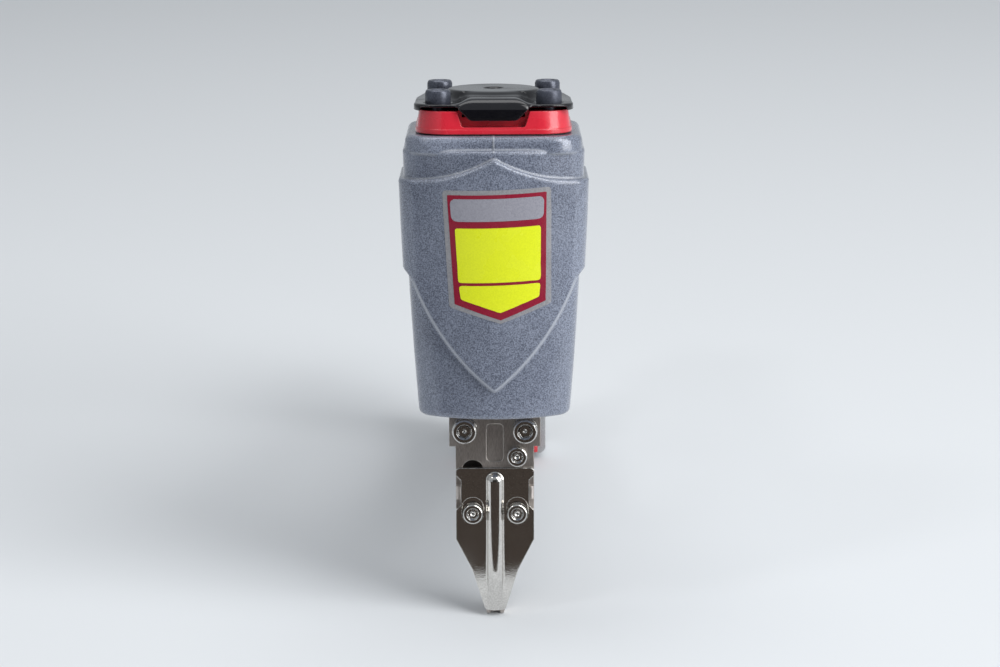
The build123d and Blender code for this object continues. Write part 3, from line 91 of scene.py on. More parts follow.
class Axis(Enum):
    """Directions that drawn or ground lines run in, as the scale of their pattern."""

    ALONG_Y = (1.0, 0.02, 1.0)
    ALONG_Z = (1.0, 1.0, 0.02)


class Way(Enum):
    """Where the top of a piece points on the tool, as quarter turns about an axis."""

    UP = (0, "X")
    DOWN = (2, "X")
    FRONT = (1, "X")
    BACK = (-1, "X")
    RIGHT = (1, "Y")


@dataclass(frozen=True)
class ShieldRim:
    """Lower edge of the casting's shield, an arc on each side, along which a highlight is painted. Lengths in
    millimetres.
    """

    centre: Point = (-54.7, 151.7)
    radius: float = 87.5
    half_width: float = 0.7
    half_core: float = 0.15
    front: Point = (-8.0, -12.0)
    top: Point = (123.0, 118.0)


class Bench:
    """Adds nodes to one node tree and wires them together."""

    def __init__(self, tree: Tree) -> None:
        """Start on the tree that nodes are added to."""
        self.tree = tree

    def add(self, kind: str, inputs: dict[Any, Any] | None = None, **settings: Any) -> bpy.types.Node:
        """Add a node, set it up and wire it.

        Args:
            kind: the node's type name.
            inputs: for each input, by name or number, a value or the socket to link from.
            settings: attributes of the node.

        Returns:
            The new node.
        """
        node = self.tree.nodes.new(kind)
        for name, value in settings.items():
            setattr(node, name, value)
        for name, value in (inputs or {}).items():
            if isinstance(value, Socket):
                self.tree.links.new(value, node.inputs[name])
            else:
                node.inputs[name].default_value = value
        return node

    def noise(self, place: Socket, scale: Any, detail: float = 2.0) -> Socket:
        """Add a noise texture and return its value, about 0 to 1."""
        return self.add("ShaderNodeTexNoise", {"Vector": place, "Scale": scale, "Detail": detail}).outputs[0]

    def spread(self, value: Socket, low: float, high: float) -> Socket:
        """Stretch a value between two levels to 0 to 1, with soft ends."""
        levels = {0: value, 1: low, 2: high}
        return self.add("ShaderNodeMapRange", levels, interpolation_type="SMOOTHSTEP").outputs[0]

    def mix(self, share: Any, first: Any, second: Any) -> Socket:
        """Mix two colours by a share and return the result."""
        return self.add("ShaderNodeMix", {0: share, 6: first, 7: second}, data_type="RGBA").outputs[2]

    def maths(self, operation: str, first: Any, second: Any = 0.0, third: Any = 0.0) -> Socket:
        """Combine values and return the result."""
        return self.add("ShaderNodeMath", {0: first, 1: second, 2: third}, operation=operation).outputs[0]

    def give(self, end: bpy.types.Node, **values: Socket) -> Tree:
        """Wire values to the inputs of an end node and return the tree."""
        for name, value in values.items():
            self.tree.links.new(value, end.inputs[name])
        return self.tree


class Effects:
    """Shader node groups that the finishes share, each made once."""

    def __init__(self) -> None:
        """Make the groups."""
        self.edges = self._edges()
        self.grains = {
            Grain.HAMMER: self._hammer(),
            Grain.CAST: self._speckle("cast skin", 2.0, 0.9),
            Grain.BRUSHED: self._speckle("brushed lines", 4.0, 1.0, (0.3, 0.7)),
            Grain.ORANGE_PEEL: self._speckle("orange peel", 0.0, 0.35),
            Grain.STIPPLE: self._stipple(),
        }
        self.wear = self._wear()
        # Painted highlight along the lower rim of the casting's shield
        self.rim_highlight = self._rim_highlight(ShieldRim())

    @staticmethod
    def _new(name: str, takes: Sequence[str], gives: Sequence[str]) -> tuple[Bench, Any, Any]:
        """Start a node group.

        Args:
            name: the group's name.
            takes: its inputs; one called Place is a vector, the rest are values.
            gives: its outputs; one called Normal is a vector, the rest are values.

        Returns:
            A bench on the group, its input node and its output node.
        """
        group = bpy.data.node_groups.new(name, "ShaderNodeTree")
        for way, titles in (("INPUT", takes), ("OUTPUT", gives)):
            for title in titles:
                kind = "NodeSocketVector" if title in ("Place", "Normal") else "NodeSocketFloat"
                group.interface.new_socket(title, in_out=way, socket_type=kind)
        bench = Bench(group)
        return bench, bench.add("NodeGroupInput"), bench.add("NodeGroupOutput")

    def _grain(self, name: str) -> tuple[Bench, Socket, Socket, Any]:
        """Start the group of a grain.

        Args:
            name: the group's name.

        Returns:
            A bench on the group, the place, the scale that gives the grain its size, and the output node.
        """
        bench, start, end = self._new(name, ("Place", "Size"), ("Height", "Tone"))
        return bench, start.outputs["Place"], bench.maths("DIVIDE", 1.0, start.outputs["Size"]), end

    def _edges(self) -> Tree:
        """Make rounded edges.

        Returns:
            A group with a normal that rolls over every edge, and a mask of where it does.
        """
        bench, start, end = self._new("rounded edges", ("Radius",), ("Normal", "Edge"))
        rolled = bench.add("ShaderNodeBevel", {"Radius": start.outputs["Radius"]}, samples=6).outputs[0]
        flat = bench.add("ShaderNodeNewGeometry").outputs["Normal"]
        turn = bench.add("ShaderNodeVectorMath", {0: rolled, 1: flat}, operation="DOT_PRODUCT")
        return bench.give(end, Normal=rolled, Edge=bench.spread(turn.outputs["Value"], 0.999, 0.9))

    def _hammer(self) -> Tree:
        """Make hammered paint.

        Returns:
            A group with fine flakes over slightly larger pits, and a slow drift of tone.
        """
        bench, place, scale, end = self._grain("hammered paint")
        flakes = bench.spread(bench.noise(place, scale), 0.37, 0.63)
        wider = bench.maths("MULTIPLY", scale, 0.7)
        cells = bench.add(
            "ShaderNodeTexVoronoi", {"Vector": place, "Scale": wider, "Smoothness": 0.5}, feature="SMOOTH_F1"
        )
        pitted = bench.spread(cells.outputs["Distance"], 0.1, 0.8)
        drift = bench.spread(bench.noise(place, 45.0), 0.3, 0.7)
        flake_share, pit_share, drift_share = 0.62, 0.22, 0.16
        tone = bench.maths("MULTIPLY_ADD", flakes, flake_share, bench.maths("MULTIPLY", drift, drift_share))
        return bench.give(end, Height=pitted, Tone=bench.maths("MULTIPLY_ADD", pitted, pit_share, tone))

    def _speckle(self, name: str, detail: float, contrast: float, levels: Point = (0.25, 0.75)) -> Tree:
        """Make even grain of one size. A place that comes in stretched makes lines of it.

        Args:
            name: the group's name.
            detail: how much finer grain is mixed in.
            contrast: how strongly it shows in the tone.
            levels: the noise at its lowest and highest places.

        Returns:
            The group.
        """
        bench, place, scale, end = self._grain(name)
        height = bench.spread(bench.noise(place, scale, detail), *levels)
        tone = bench.maths("MULTIPLY_ADD", height, contrast, 0.5 - contrast / 2)
        return bench.give(end, Height=height, Tone=tone)

    def _stipple(self) -> Tree:
        """Make round dots moulded close together.

        Returns:
            The group.
        """
        bench, place, scale, end = self._grain("moulded stipple")
        dots = bench.add("ShaderNodeTexVoronoi", {"Vector": place, "Scale": scale, "Randomness": 0.55})
        height = bench.spread(dots.outputs["Distance"], 0.55, 0.15)
        return bench.give(end, Height=height, Tone=height)

    def _wear(self) -> Tree:
        """Make handling marks.

        Returns:
            A group with two masks: slow patches and thin scratches.
        """
        bench, start, end = self._new("handling marks", ("Place",), ("Patches", "Scratches"))
        place = start.outputs["Place"]
        patches = bench.spread(bench.noise(place, 70.0, 4.0), 0.42, 0.72)
        bent = bench.add(
            "ShaderNodeMapping", {"Vector": place, "Rotation": (0.5, 0.9, 0.3), "Scale": (60.0, 900.0, 900.0)}
        )
        scratches = bench.spread(bench.noise(bent.outputs[0], 1.0, 1.0), 0.7, 0.78)
        return bench.give(end, Patches=patches, Scratches=scratches)

    def _rim_highlight(self, rim_highlight: ShieldRim) -> Tree:
        """Make a painted highlight along the lower edge of the casting's shield.

        Args:
            rim_highlight: the sizes of that edge.

        Returns:
            A group with a mask of the painted highlight along the edge.
        """
        bench, start, end = self._new("shield rim highlight", ("Place",), ("Rim",))
        upright = bench.add(
            "ShaderNodeMapping",
            {
                "Vector": start.outputs["Place"],
                "Rotation": (LEAN, 0.0, 0.0),
                "Location": (0.0, NOSE_HEEL * MM, 0.0),
            },
        )
        right, back, height = bench.add("ShaderNodeSeparateXYZ", {0: upright.outputs[0]}).outputs
        across = bench.maths("SUBTRACT", bench.maths("ABSOLUTE", right), rim_highlight.centre[0] * MM)
        along = bench.maths("SUBTRACT", height, rim_highlight.centre[1] * MM)
        squares = bench.maths("MULTIPLY_ADD", across, across, bench.maths("MULTIPLY", along, along))
        off = bench.maths("SUBTRACT", bench.maths("SQRT", squares), rim_highlight.radius * MM)
        line = bench.spread(bench.maths("ABSOLUTE", off), rim_highlight.half_width * MM, rim_highlight.half_core * MM)
        front = bench.spread(back, rim_highlight.front[0] * MM, rim_highlight.front[1] * MM)
        below = bench.spread(height, rim_highlight.top[0] * MM, rim_highlight.top[1] * MM)
        return bench.give(end, Rim=bench.maths("MULTIPLY", bench.maths("MULTIPLY", line, front), below))


@dataclass(frozen=True)
class Finish:
    """One surface finish, made into a procedural material.

    Lengths are in millimetres. The tone of the grain runs the colour between dark and light. Over rounded
    edges the colour turns to the edge colour: partly a painted highlight, partly rubbed wear.
    """

    name: str
    dark: Colour
    light: Colour
    metallic: float
    roughness: float
    grain: Grain
    grain_size: float
    grain_depth: float
    edge_radius: float
    edge_colour: Colour
    edge_share: float = 0.35
    roughness_spread: float = 0.08
    direction: Axis | None = None
    coat: float = 0.0
    coat_roughness: float = 0.1
    wear_share: float = 0.0
    rim_highlight_share: float = 0.0

    def build(self, effects: Effects) -> bpy.types.Material:
        """Make the material.

        Args:
            effects: the shared shader node groups.

        Returns:
            The new material.
        """
        material = bpy.data.materials.new(self.name)
        material.use_nodes = True
        material.node_tree.nodes.clear()
        bench = Bench(material.node_tree)
        place = bench.add("ShaderNodeTexCoord").outputs["Object"]
        edges = self._group(bench, effects.edges, Radius=self.edge_radius * MM)
        wear = self._group(bench, effects.wear, Place=place)
        lines = self._grain_place(bench, place)
        grain = self._group(bench, effects.grains[self.grain], Place=lines, Size=self.grain_size * MM)
        base = bench.mix(grain.outputs["Tone"], (*self.dark, 1.0), (*self.light, 1.0))
        # Mask of the edge colour: painted highlight and wear on rounded edges, with rubbed scratches
        wear_and_highlight = bench.maths(
            "MAXIMUM",
            bench.maths("MULTIPLY", edges.outputs["Edge"], self.edge_share),
            bench.maths("MULTIPLY", wear.outputs["Scratches"], self.wear_share),
        )
        # Painted highlight: a lighter line along the shield's lower rim
        if self.rim_highlight_share:
            rim_highlight = self._group(bench, effects.rim_highlight, Place=place).outputs["Rim"]
            wear_and_highlight = bench.maths("MAXIMUM", wear_and_highlight, bench.maths("MULTIPLY", rim_highlight, self.rim_highlight_share))
        smoothest = max(self.roughness - self.roughness_spread, 0.02)
        roughest = min(self.roughness + self.roughness_spread, 1.0)
        roughness = bench.add("ShaderNodeMapRange", {0: wear.outputs["Patches"], 3: smoothest, 4: roughest})
        bump = bench.add(
            "ShaderNodeBump",
            {
                "Height": grain.outputs["Height"],
                "Normal": edges.outputs["Normal"],
                "Distance": self.grain_depth * MM,
            },
        )
        shader = bench.add(
            "ShaderNodeBsdfPrincipled",
            {
                "Base Color": bench.mix(wear_and_highlight, base, (*self.edge_colour, 1.0)),
                "Metallic": self.metallic,
                "Roughness": roughness.outputs[0],
                "Normal": bump.outputs[0],
                "Coat Weight": self.coat,
                "Coat Roughness": self.coat_roughness,
                "Coat Normal": bump.outputs[0],
            },
        )
        bench.add("ShaderNodeOutputMaterial", {"Surface": shader.outputs[0]})
        return material

    def _grain_place(self, bench: Bench, place: Socket) -> Socket:
        """Stretch the place along the direction of drawn lines, if the finish has one.

        Args:
            bench: a bench on the material.
            place: the place on the piece.

        Returns:
            The place that the grain reads.
        """
        if self.direction is None:
            return place
        scale, turn = self.direction.value, (LEAN, 0.0, 0.0)
        return bench.add("ShaderNodeMapping", {"Vector": place, "Scale": scale, "Rotation": turn}).outputs[0]

    @staticmethod
    def _group(bench: Bench, group: Tree, **inputs: Any) -> bpy.types.Node:
        """Add a shared group to a material and feed it."""
        return bench.add("ShaderNodeGroup", inputs, node_tree=group)


FINISHES: tuple[Finish, ...] = (
    # Casting paint: its edge colour over rounded edges and its rim share are painted highlights
    Finish(
        "casting_paint", (0.068, 0.08, 0.115), (0.285, 0.318, 0.405), 0.1, 0.32, Grain.HAMMER, 0.42,
        0.016, 1.4, (0.44, 0.465, 0.52), edge_share=0.75, coat=0.7, coat_roughness=0.08, rim_highlight_share=0.66,
    ),
    Finish(
        "red_plastic", (0.66, 0.018, 0.038), (0.73, 0.026, 0.05), 0.0, 0.3, Grain.ORANGE_PEEL, 1.4,
        0.008, 0.45, (0.8, 0.08, 0.1), coat=0.6, coat_roughness=0.12,
    ),
    Finish(
        "black_plate", (0.003, 0.003, 0.005), (0.006, 0.006, 0.008), 0.0, 0.16, Grain.ORANGE_PEEL, 1.3,
        0.005, 0.4, (0.012, 0.012, 0.016), edge_share=0.3, coat=0.2, coat_roughness=0.06,
    ),
    Finish(
        "black_screw", (0.05, 0.055, 0.075), (0.11, 0.12, 0.155), 0.4, 0.34, Grain.CAST, 0.4,
        0.004, 0.2, (0.16, 0.17, 0.19), edge_share=0.4,
    ),
    Finish(
        "bright_screw", (0.54, 0.53, 0.51), (0.68, 0.67, 0.65), 1.0, 0.13, Grain.CAST, 0.5,
        0.001, 0.2, (0.86, 0.85, 0.83), edge_share=0.4,
    ),
    Finish(
        "nickel", (0.54, 0.52, 0.495), (0.78, 0.76, 0.725), 1.0, 0.09, Grain.CAST, 0.45,
        0.004, 0.4, (0.88, 0.87, 0.84), edge_share=0.5, roughness_spread=0.03, wear_share=0.1,
    ),
    Finish(
        "tool_steel", (0.47, 0.43, 0.40), (0.65, 0.60, 0.565), 1.0, 0.46, Grain.BRUSHED, 0.2,
        0.006, 0.3, (0.72, 0.69, 0.65), edge_share=0.45, direction=Axis.ALONG_Z, wear_share=0.1,
    ),
    Finish(
        "magazine_metal", (0.34, 0.345, 0.355), (0.46, 0.465, 0.475), 1.0, 0.36, Grain.BRUSHED, 0.3,
        0.004, 0.3, (0.72, 0.72, 0.73), edge_share=0.4, direction=Axis.ALONG_Y, wear_share=0.15,
    ),
    Finish(
        "bracket_metal", (0.46, 0.465, 0.475), (0.58, 0.585, 0.595), 0.8, 0.4, Grain.CAST, 0.5,
        0.02, 0.6, (0.74, 0.74, 0.75), edge_share=0.3,
    ),
    Finish(
        "grip_rubber", (0.009, 0.009, 0.010), (0.026, 0.026, 0.028), 0.0, 0.66, Grain.STIPPLE, 0.9,
        0.08, 0.5, (0.05, 0.05, 0.052), edge_share=0.3,
    ),
    Finish(
        "seal_rubber", (0.008, 0.008, 0.008), (0.02, 0.02, 0.02), 0.0, 0.45, Grain.CAST, 0.5,
        0.005, 0.1, (0.04, 0.04, 0.04), edge_share=0.2,
    ),
    Finish(
        "bumper_rubber", (0.42, 0.24, 0.06), (0.55, 0.34, 0.10), 0.0, 0.4, Grain.CAST, 0.8,
        0.01, 0.4, (0.66, 0.46, 0.18), edge_share=0.3,
    ),
    Finish(
        "gasket_fibre", (0.06, 0.05, 0.045), (0.15, 0.13, 0.115), 0.0, 0.85, Grain.CAST, 0.4,
        0.02, 0.1, (0.18, 0.16, 0.14), edge_share=0.2,
    ),
    Finish(
        "bore_metal", (0.38, 0.385, 0.39), (0.56, 0.565, 0.57), 1.0, 0.3, Grain.BRUSHED, 0.35,
        0.004, 0.3, (0.74, 0.74, 0.74), edge_share=0.3, direction=Axis.ALONG_Z,
    ),
    Finish(
        "valve_plastic", (0.03, 0.03, 0.032), (0.07, 0.07, 0.073), 0.0, 0.42, Grain.CAST, 0.6,
        0.01, 0.3, (0.12, 0.12, 0.122), edge_share=0.3,
    ),
    Finish(
        "spring_steel", (0.3, 0.295, 0.285), (0.5, 0.495, 0.485), 1.0, 0.28, Grain.CAST, 0.3,
        0.002, 0.1, (0.6, 0.6, 0.59), edge_share=0.1,
    ),
    Finish(
        "trigger_plastic", (0.014, 0.014, 0.015), (0.034, 0.034, 0.036), 0.0, 0.36, Grain.ORANGE_PEEL, 0.8,
        0.02, 0.5, (0.08, 0.08, 0.084),
    ),
    Finish(
        "latch_red", (0.42, 0.012, 0.02), (0.52, 0.02, 0.03), 0.0, 0.34, Grain.ORANGE_PEEL, 1.2,
        0.015, 0.5, (0.62, 0.08, 0.09), coat=0.3,
    ),
    Finish(
        "brass_plug", (0.52, 0.46, 0.34), (0.68, 0.62, 0.48), 1.0, 0.24, Grain.CAST, 0.5,
        0.003, 0.3, (0.82, 0.77, 0.64), edge_share=0.4,
    ),
    Finish(
        "screen_mesh", (0.2, 0.19, 0.17), (0.5, 0.48, 0.44), 1.0, 0.5, Grain.STIPPLE, 0.5,
        0.1, 0.1, (0.6, 0.58, 0.54), edge_share=0.2,
    ),
)

PRINTS: tuple[Finish, ...] = (
    # Lighter paint of the parting line: a painted highlight on its ridge
    Finish(
        "ridge_highlight_paint", (0.26, 0.28, 0.33), (0.40, 0.425, 0.48), 0.2, 0.3, Grain.HAMMER, 0.42,
        0.004, 0.1, (0.6, 0.62, 0.66), edge_share=0.2, coat=0.5,
    ),
    Finish(
        "print_silver", (0.30, 0.30, 0.32), (0.40, 0.40, 0.42), 0.25, 0.3, Grain.CAST, 0.5,
        0.004, 0.05, (0.5, 0.5, 0.52), edge_share=0.2, coat=0.3,
    ),
    Finish(
        "print_crimson", (0.24, 0.008, 0.028), (0.29, 0.012, 0.036), 0.0, 0.3, Grain.CAST, 0.5,
        0.004, 0.05, (0.3, 0.02, 0.04), edge_share=0.1, coat=0.3,
    ),
    Finish(
        "print_grey", (0.30, 0.298, 0.345), (0.38, 0.378, 0.43), 0.15, 0.3, Grain.CAST, 0.5,
        0.004, 0.05, (0.42, 0.42, 0.44), edge_share=0.1, coat=0.3,
    ),
    Finish(
        "print_yellow", (0.70, 0.77, 0.012), (0.78, 0.85, 0.018), 0.0, 0.3, Grain.CAST, 0.5,
        0.004, 0.05, (0.66, 0.7, 0.03), edge_share=0.1, coat=0.3,
    ),
)


class Wardrobe:
    """Keeps the materials and puts them on pieces."""

    def __init__(self) -> None:
        """Make every finish once."""
        effects = Effects()
        self.materials = {finish.name: finish.build(effects) for finish in FINISHES + PRINTS}

    def dress_frame(self) -> None:
        """Give every CAD node the finish of its material slot."""
        for part in frame["record"]["subparts"]:
            node = frame["nodes"][part["node"]]
            node.data.materials.clear()
            node.data.materials.append(self.materials[part["material_slot"]])
        LOG.info("dressed %d CAD nodes", len(frame["nodes"]))

    def dress(
        self, piece: Piece, name: str, bodies: Sequence[str], slot: str, stands_for: Sequence[str] = (),
        finish: str = "", span: Sequence[Vector] = (),
    ) -> None:
        """Name a new piece and give it a finish. It is tied to its body, or, when it has a span, its place is
        baked into its mesh.

        Args:
            piece: the finished piece, in place.
            name: its name.
            bodies: the CAD body that it moves with, or the two bodies at a spring's ends, which are only
                named in the log.
            slot: the record's material slot that it belongs to.
            stands_for: CAD nodes that it is shown instead of.
            finish: the finish to put on it, where it isn't the one of its slot.
            span: the ends of a spring, in metres of the part's frame; only whether it is given is used.
        """
        piece.name = piece.data.name = name
        piece.data.materials.clear()
        piece.data.materials.append(self.materials[finish or slot])
        if stands_for:
            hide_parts(*stands_for)
        if span:
            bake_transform(piece)
        else:
            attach(piece, *bodies)
        LOG.info("%s moves with %s: %d faces", name, " and ".join(bodies), len(piece.data.polygons))


def clear() -> None:
    """Leave edit mode and deselect everything."""
    if bpy.context.object is not None and bpy.context.object.mode != "OBJECT":
        bpy.ops.object.mode_set(mode="OBJECT")
    bpy.ops.object.select_all(action="DESELECT")


def pick(piece: Piece) -> None:
    """Make one piece the only selected and active one.

    Args:
        piece: the piece.
    """
    clear()
    piece.select_set(True)
    bpy.context.view_layer.objects.active = piece


def enter(piece: Piece, action: str = "SELECT", kind: str = "VERT") -> None:
    """Go into edit mode on a piece.

    Args:
        piece: the piece.
        action: whether all of it is selected or nothing: SELECT or DESELECT.
        kind: what is selected from then on: VERT or FACE.
    """
    pick(piece)
    bpy.ops.object.mode_set(mode="EDIT")
    bpy.ops.mesh.select_mode(type=kind)
    bpy.ops.mesh.select_all(action=action)


def leave() -> None:
    """Go back to object mode."""
    bpy.ops.object.mode_set(mode="OBJECT")


def modify(piece: Piece, kind: str, **settings: Any) -> None:
    """Add a modifier to a piece, set it up and apply it.

    Args:
        piece: the piece.
        kind: the modifier's type name.
        settings: attributes of the modifier.
    """
    pick(piece)
    bpy.ops.object.modifier_add(type=kind)
    modifier = piece.modifiers[-1]
    for name, value in settings.items():
        setattr(modifier, name, value)
    bpy.ops.object.modifier_apply(modifier=modifier.name)


def cut(piece: Piece, cutter: Piece) -> None:
    """Cut a piece with another one, which is used up."""
    modify(piece, "BOOLEAN", operation="DIFFERENCE", object=cutter, solver="EXACT")
    bpy.data.objects.remove(cutter)


def settle(piece: Piece, matrix: Matrix) -> None:
    """Move a piece and apply its transform.

    Args:
        piece: the piece.
        matrix: where it goes.
    """
    pick(piece)
    piece.matrix_world = matrix
    bpy.context.view_layer.update()
    bpy.ops.object.transform_apply(location=True, rotation=True, scale=True)


def set_copies(model: Piece, places: Sequence[Matrix]) -> Piece:
    """Copy a modelled piece to every place, join the copies and delete the model.

    Args:
        model: the piece, at the origin.
        places: where the copies stand.

    Returns:
        The joined piece, with its own mesh.
    """
    made = []
    for matrix in places:
        pick(model)
        bpy.ops.object.duplicate(linked=False)
        made.append(bpy.context.object)
        settle(made[-1], matrix)
    clear()
    for piece in made:
        piece.select_set(True)
    bpy.context.view_layer.objects.active = made[0]
    bpy.ops.object.join()
    bpy.data.objects.remove(model)
    return made[0]


def skin_of(node: str) -> Piece:
    """Copy a CAD node's surface into a new piece and merge its loose triangles.

    Args:
        node: the node's name.

    Returns:
        The new piece.
    """
    skin = bpy.data.objects.new(node, frame["nodes"][node].data.copy())
    bpy.context.scene.collection.objects.link(skin)
    enter(skin)
    bpy.ops.mesh.remove_doubles(threshold=SAME_SPOT)
    leave()
    return skin


def slice_along(piece: Piece, point: Place, way: Place, trim: bool) -> None:
    """Slice a piece along a plane.

    Args:
        piece: the piece to slice.
        point: a point of the plane, in millimetres of the tool's upright frame.
        way: the plane's normal in that frame.
        trim: whether the part that the normal points at is cut away.
    """
    enter(piece)
    bpy.ops.mesh.bisect(
        plane_co=STAND @ (Vector(point) * MM), plane_no=STAND.to_3x3() @ Vector(way), clear_outer=trim
    )
    leave()


def choose(piece: Piece, wanted: Callable[[Vector], bool]) -> None:
    """Go into edit mode on a piece with only the wanted vertices selected.

    Args:
        piece: the piece.
        wanted: says, for a vertex's own place, whether it is selected.
    """
    enter(piece, "DESELECT")
    leave()
    for vertex in piece.data.vertices:
        vertex.select = wanted(vertex.co)
    bpy.ops.object.mode_set(mode="EDIT")


def keep_faces(piece: Piece, wanted: Callable[[Vector, Vector], bool]) -> None:
    """Delete every face that isn't wanted.

    Args:
        piece: the piece to thin out.
        wanted: says, for a face's middle in millimetres and its normal, both in the tool's upright frame,
            whether it stays.
    """
    upright = STAND.inverted()
    enter(piece, "DESELECT", "FACE")
    leave()
    for face in piece.data.polygons:
        face.select = not wanted(upright @ face.center / MM, upright.to_3x3() @ face.normal)
    bpy.ops.object.mode_set(mode="EDIT")
    bpy.ops.mesh.delete(type="FACE")
    leave()


def smooth(piece: Piece, angle: float = 35.0) -> None:
    """Shade a piece smooth below an angle in degrees."""
    pick(piece)
    bpy.ops.object.shade_smooth_by_angle(angle=math.radians(angle))


@dataclass(frozen=True)
class SocketScrew:
    """Socket-head screw with a knurled head.

    The first four sizes are in millimetres. The head's rings are shares of its radius and height, the knurled
    span and the socket's depth are shares of its height, the socket's width is a share of the thread, and the
    socket's mouth is a share of that width.
    """

    head: float
    height: float
    thread: float
    length: float
    foot: float = 0.95
    rings: tuple[Point, ...] = (
        (0.95, 0.03), (1.0, 0.10), (1.0, 0.80), (0.965, 0.86), (0.95, 0.93), (0.86, 1.0)
    )
    knurls: int = 30
    knurl_depth: float = 0.03
    knurl_span: Point = (0.09, 0.81)
    socket_width: float = 0.8
    socket_depth: float = 0.38
    mouth: float = 0.66
    mouth_sides: int = 48
    shading: float = 24.0

    def model(self) -> Piece:
        """Model the screw at the origin, head up, with its shank below.

        Returns:
            The screw.
        """
        radius = self.foot * self.head / 2 * MM
        clear()
        bpy.ops.mesh.primitive_circle_add(vertices=2 * self.knurls, radius=radius, fill_type="NOTHING")
        screw = bpy.context.object
        enter(screw)
        last, level = self.foot, 0.0
        for share, rise in self.rings:
            self._draw((rise - level) * self.height)
            self._widen(share / last)
            last, level = share, rise
        bpy.ops.mesh.edge_face_add()
        leave()
        self._knurl(screw)
        self._shank(screw)
        self._socket(screw)
        smooth(screw, self.shading)
        return screw

    @staticmethod
    def _draw(rise: float) -> None:
        """Draw what is selected up along the screw's axis, with new sides."""
        bpy.ops.mesh.extrude_region_move(TRANSFORM_OT_translate={"value": (0.0, 0.0, rise * MM)})

    @staticmethod
    def _widen(size: float) -> None:
        """Widen what is selected about the screw's axis."""
        bpy.ops.transform.resize(value=(size, size, 1.0), center_override=(0.0, 0.0, 0.0))

    def _knurl(self, screw: Piece) -> None:
        """Press every other line of the head's side inwards.

        Args:
            screw: the screw's head.
        """
        step = math.pi / self.knurls
        low, high = (share * self.height * MM for share in self.knurl_span)

        def on_groove(place: Vector) -> bool:
            """Say whether a place is on an odd line of the knurled span."""
            return low < place.z < high and round(math.atan2(place.y, place.x) / step) % 2 == 1

        choose(screw, on_groove)
        self._widen(1.0 - self.knurl_depth)
        leave()

    def _shank(self, screw: Piece) -> None:
        """Close the underside of the head and draw the shank down from it.

        Args:
            screw: the screw's head.
        """
        choose(screw, lambda place: abs(place.z) < SAME_SPOT)
        self._draw(0.0)
        self._widen(self.thread / (self.foot * self.head))
        self._draw(-self.length)
        bpy.ops.mesh.edge_face_add()
        bpy.ops.mesh.select_all(action="SELECT")
        bpy.ops.mesh.normals_make_consistent(inside=False)
        leave()

    def _socket(self, screw: Piece) -> None:
        """Cut the hex socket, with a chamfered mouth.

        Args:
            screw: the screw without its socket.
        """
        across = self.socket_width * self.thread * MM
        depth = self.socket_depth * self.height * MM
        mouth = 2 * self.mouth * across
        top = (0.0, 0.0, self.height * MM)
        clear()
        bpy.ops.mesh.primitive_cylinder_add(
            vertices=6, radius=across / math.sqrt(3.0), depth=2 * depth, location=top
        )
        cut(screw, bpy.context.object)
        clear()
        bpy.ops.mesh.primitive_cone_add(
            vertices=self.mouth_sides, radius1=0.0, radius2=mouth, depth=mouth, location=top
        )
        cut(screw, bpy.context.object)


def tool_place(x: float, y: float, z: float, way: Way, spin: float = 0.0) -> Matrix:
    """Where a piece modelled upright at the origin stands on the tool.

    Args:
        x: place to the right, in millimetres of the tool's upright frame.
        y: place behind the drive axis.
        z: height above the nose tip.
        way: where the piece's top points.
        spin: turn about its own axis, in degrees.

    Returns:
        The matrix that puts it there.
    """
    quarters, axis = way.value
    turn = Matrix.Rotation(quarters * math.pi / 2, 4, axis) @ Matrix.Rotation(math.radians(spin), 4, "Z")
    return STAND @ Matrix.Translation((x * MM, y * MM, z * MM)) @ turn


@dataclass
class Dress:
    """Pieces that dress one part of the tool, and the finishes that they take."""

    wardrobe: Wardrobe


@dataclass
class CapDress(Dress):
    """Moulded cap and its knurled screws. Lengths in millimetres."""

    screw: SocketScrew = SocketScrew(8.5, 5.0, 5.0, 25.4)
    side: float = 18.3
    reach: float = 17.0
    level: float = 177.3
    spins: tuple[float, ...] = (8.0, 41.0, 23.0, 52.0)
    fineness: float = 0.36
    softness: float = 0.5
    softening: int = 14
    hood_softening: int = 90
    shading: float = 60.0
    underside: float = 176.1
    chamber_radius: float = 13.6
    chamber_top: float = 179.2
    visor: float = 24.3
    hood_low: float = 176.8
    hood_half: float = 13.2
    hood_root: float = 11.0

    def dress(self) -> None:
        """Model the cap and its screws and put them on."""
        self.wardrobe.dress(self._cover(), "cap_moulding", ["tool"], "black_plate", ["cylinder_cap"])
        spots = [(x, y) for x in (-self.side, self.side) for y in (-self.reach, self.reach)]
        places = [tool_place(x, y, self.level, Way.UP, spin) for (x, y), spin in zip(spots, self.spins)]
        screws = set_copies(self.screw.model(), places)
        self.wardrobe.dress(screws, "cap_screw_set", ["tool"], "black_screw", ["cap_screws"])

    def _cover(self) -> Piece:
        """Soften the cap's corners, as its mould leaves them, except on its underside.

        Returns:
            The cap, in place.
        """
        cover = skin_of("cylinder_cap")
        settle(cover, STAND.inverted())
        modify(cover, "REMESH", mode="VOXEL", voxel_size=self.fineness * MM)
        passes = (("outer", self._outside, self.softening), ("hood", self._on_hood, self.hood_softening))
        for name, wanted, rounds in passes:
            chosen = [vertex.index for vertex in cover.data.vertices if wanted(vertex.co / MM)]
            cover.vertex_groups.new(name=name).add(chosen, 1.0, "REPLACE")
            modify(cover, "SMOOTH", factor=self.softness, iterations=rounds, vertex_group=name)
        settle(cover, STAND)
        smooth(cover, self.shading)
        return cover

    def _outside(self, point: Vector) -> bool:
        """Say whether a point of the cap is on its outside, above its seat and its chamber."""
        in_chamber = math.hypot(point.x, point.y) < self.chamber_radius and point.z < self.chamber_top
        return point.y < -self.visor or (point.z > self.underside and not in_chamber)

    def _on_hood(self, point: Vector) -> bool:
        """Say whether a point of the cap is on top of the exhaust's hood."""
        return point.z > self.hood_low and abs(point.x) < self.hood_half and point.y < -self.hood_root


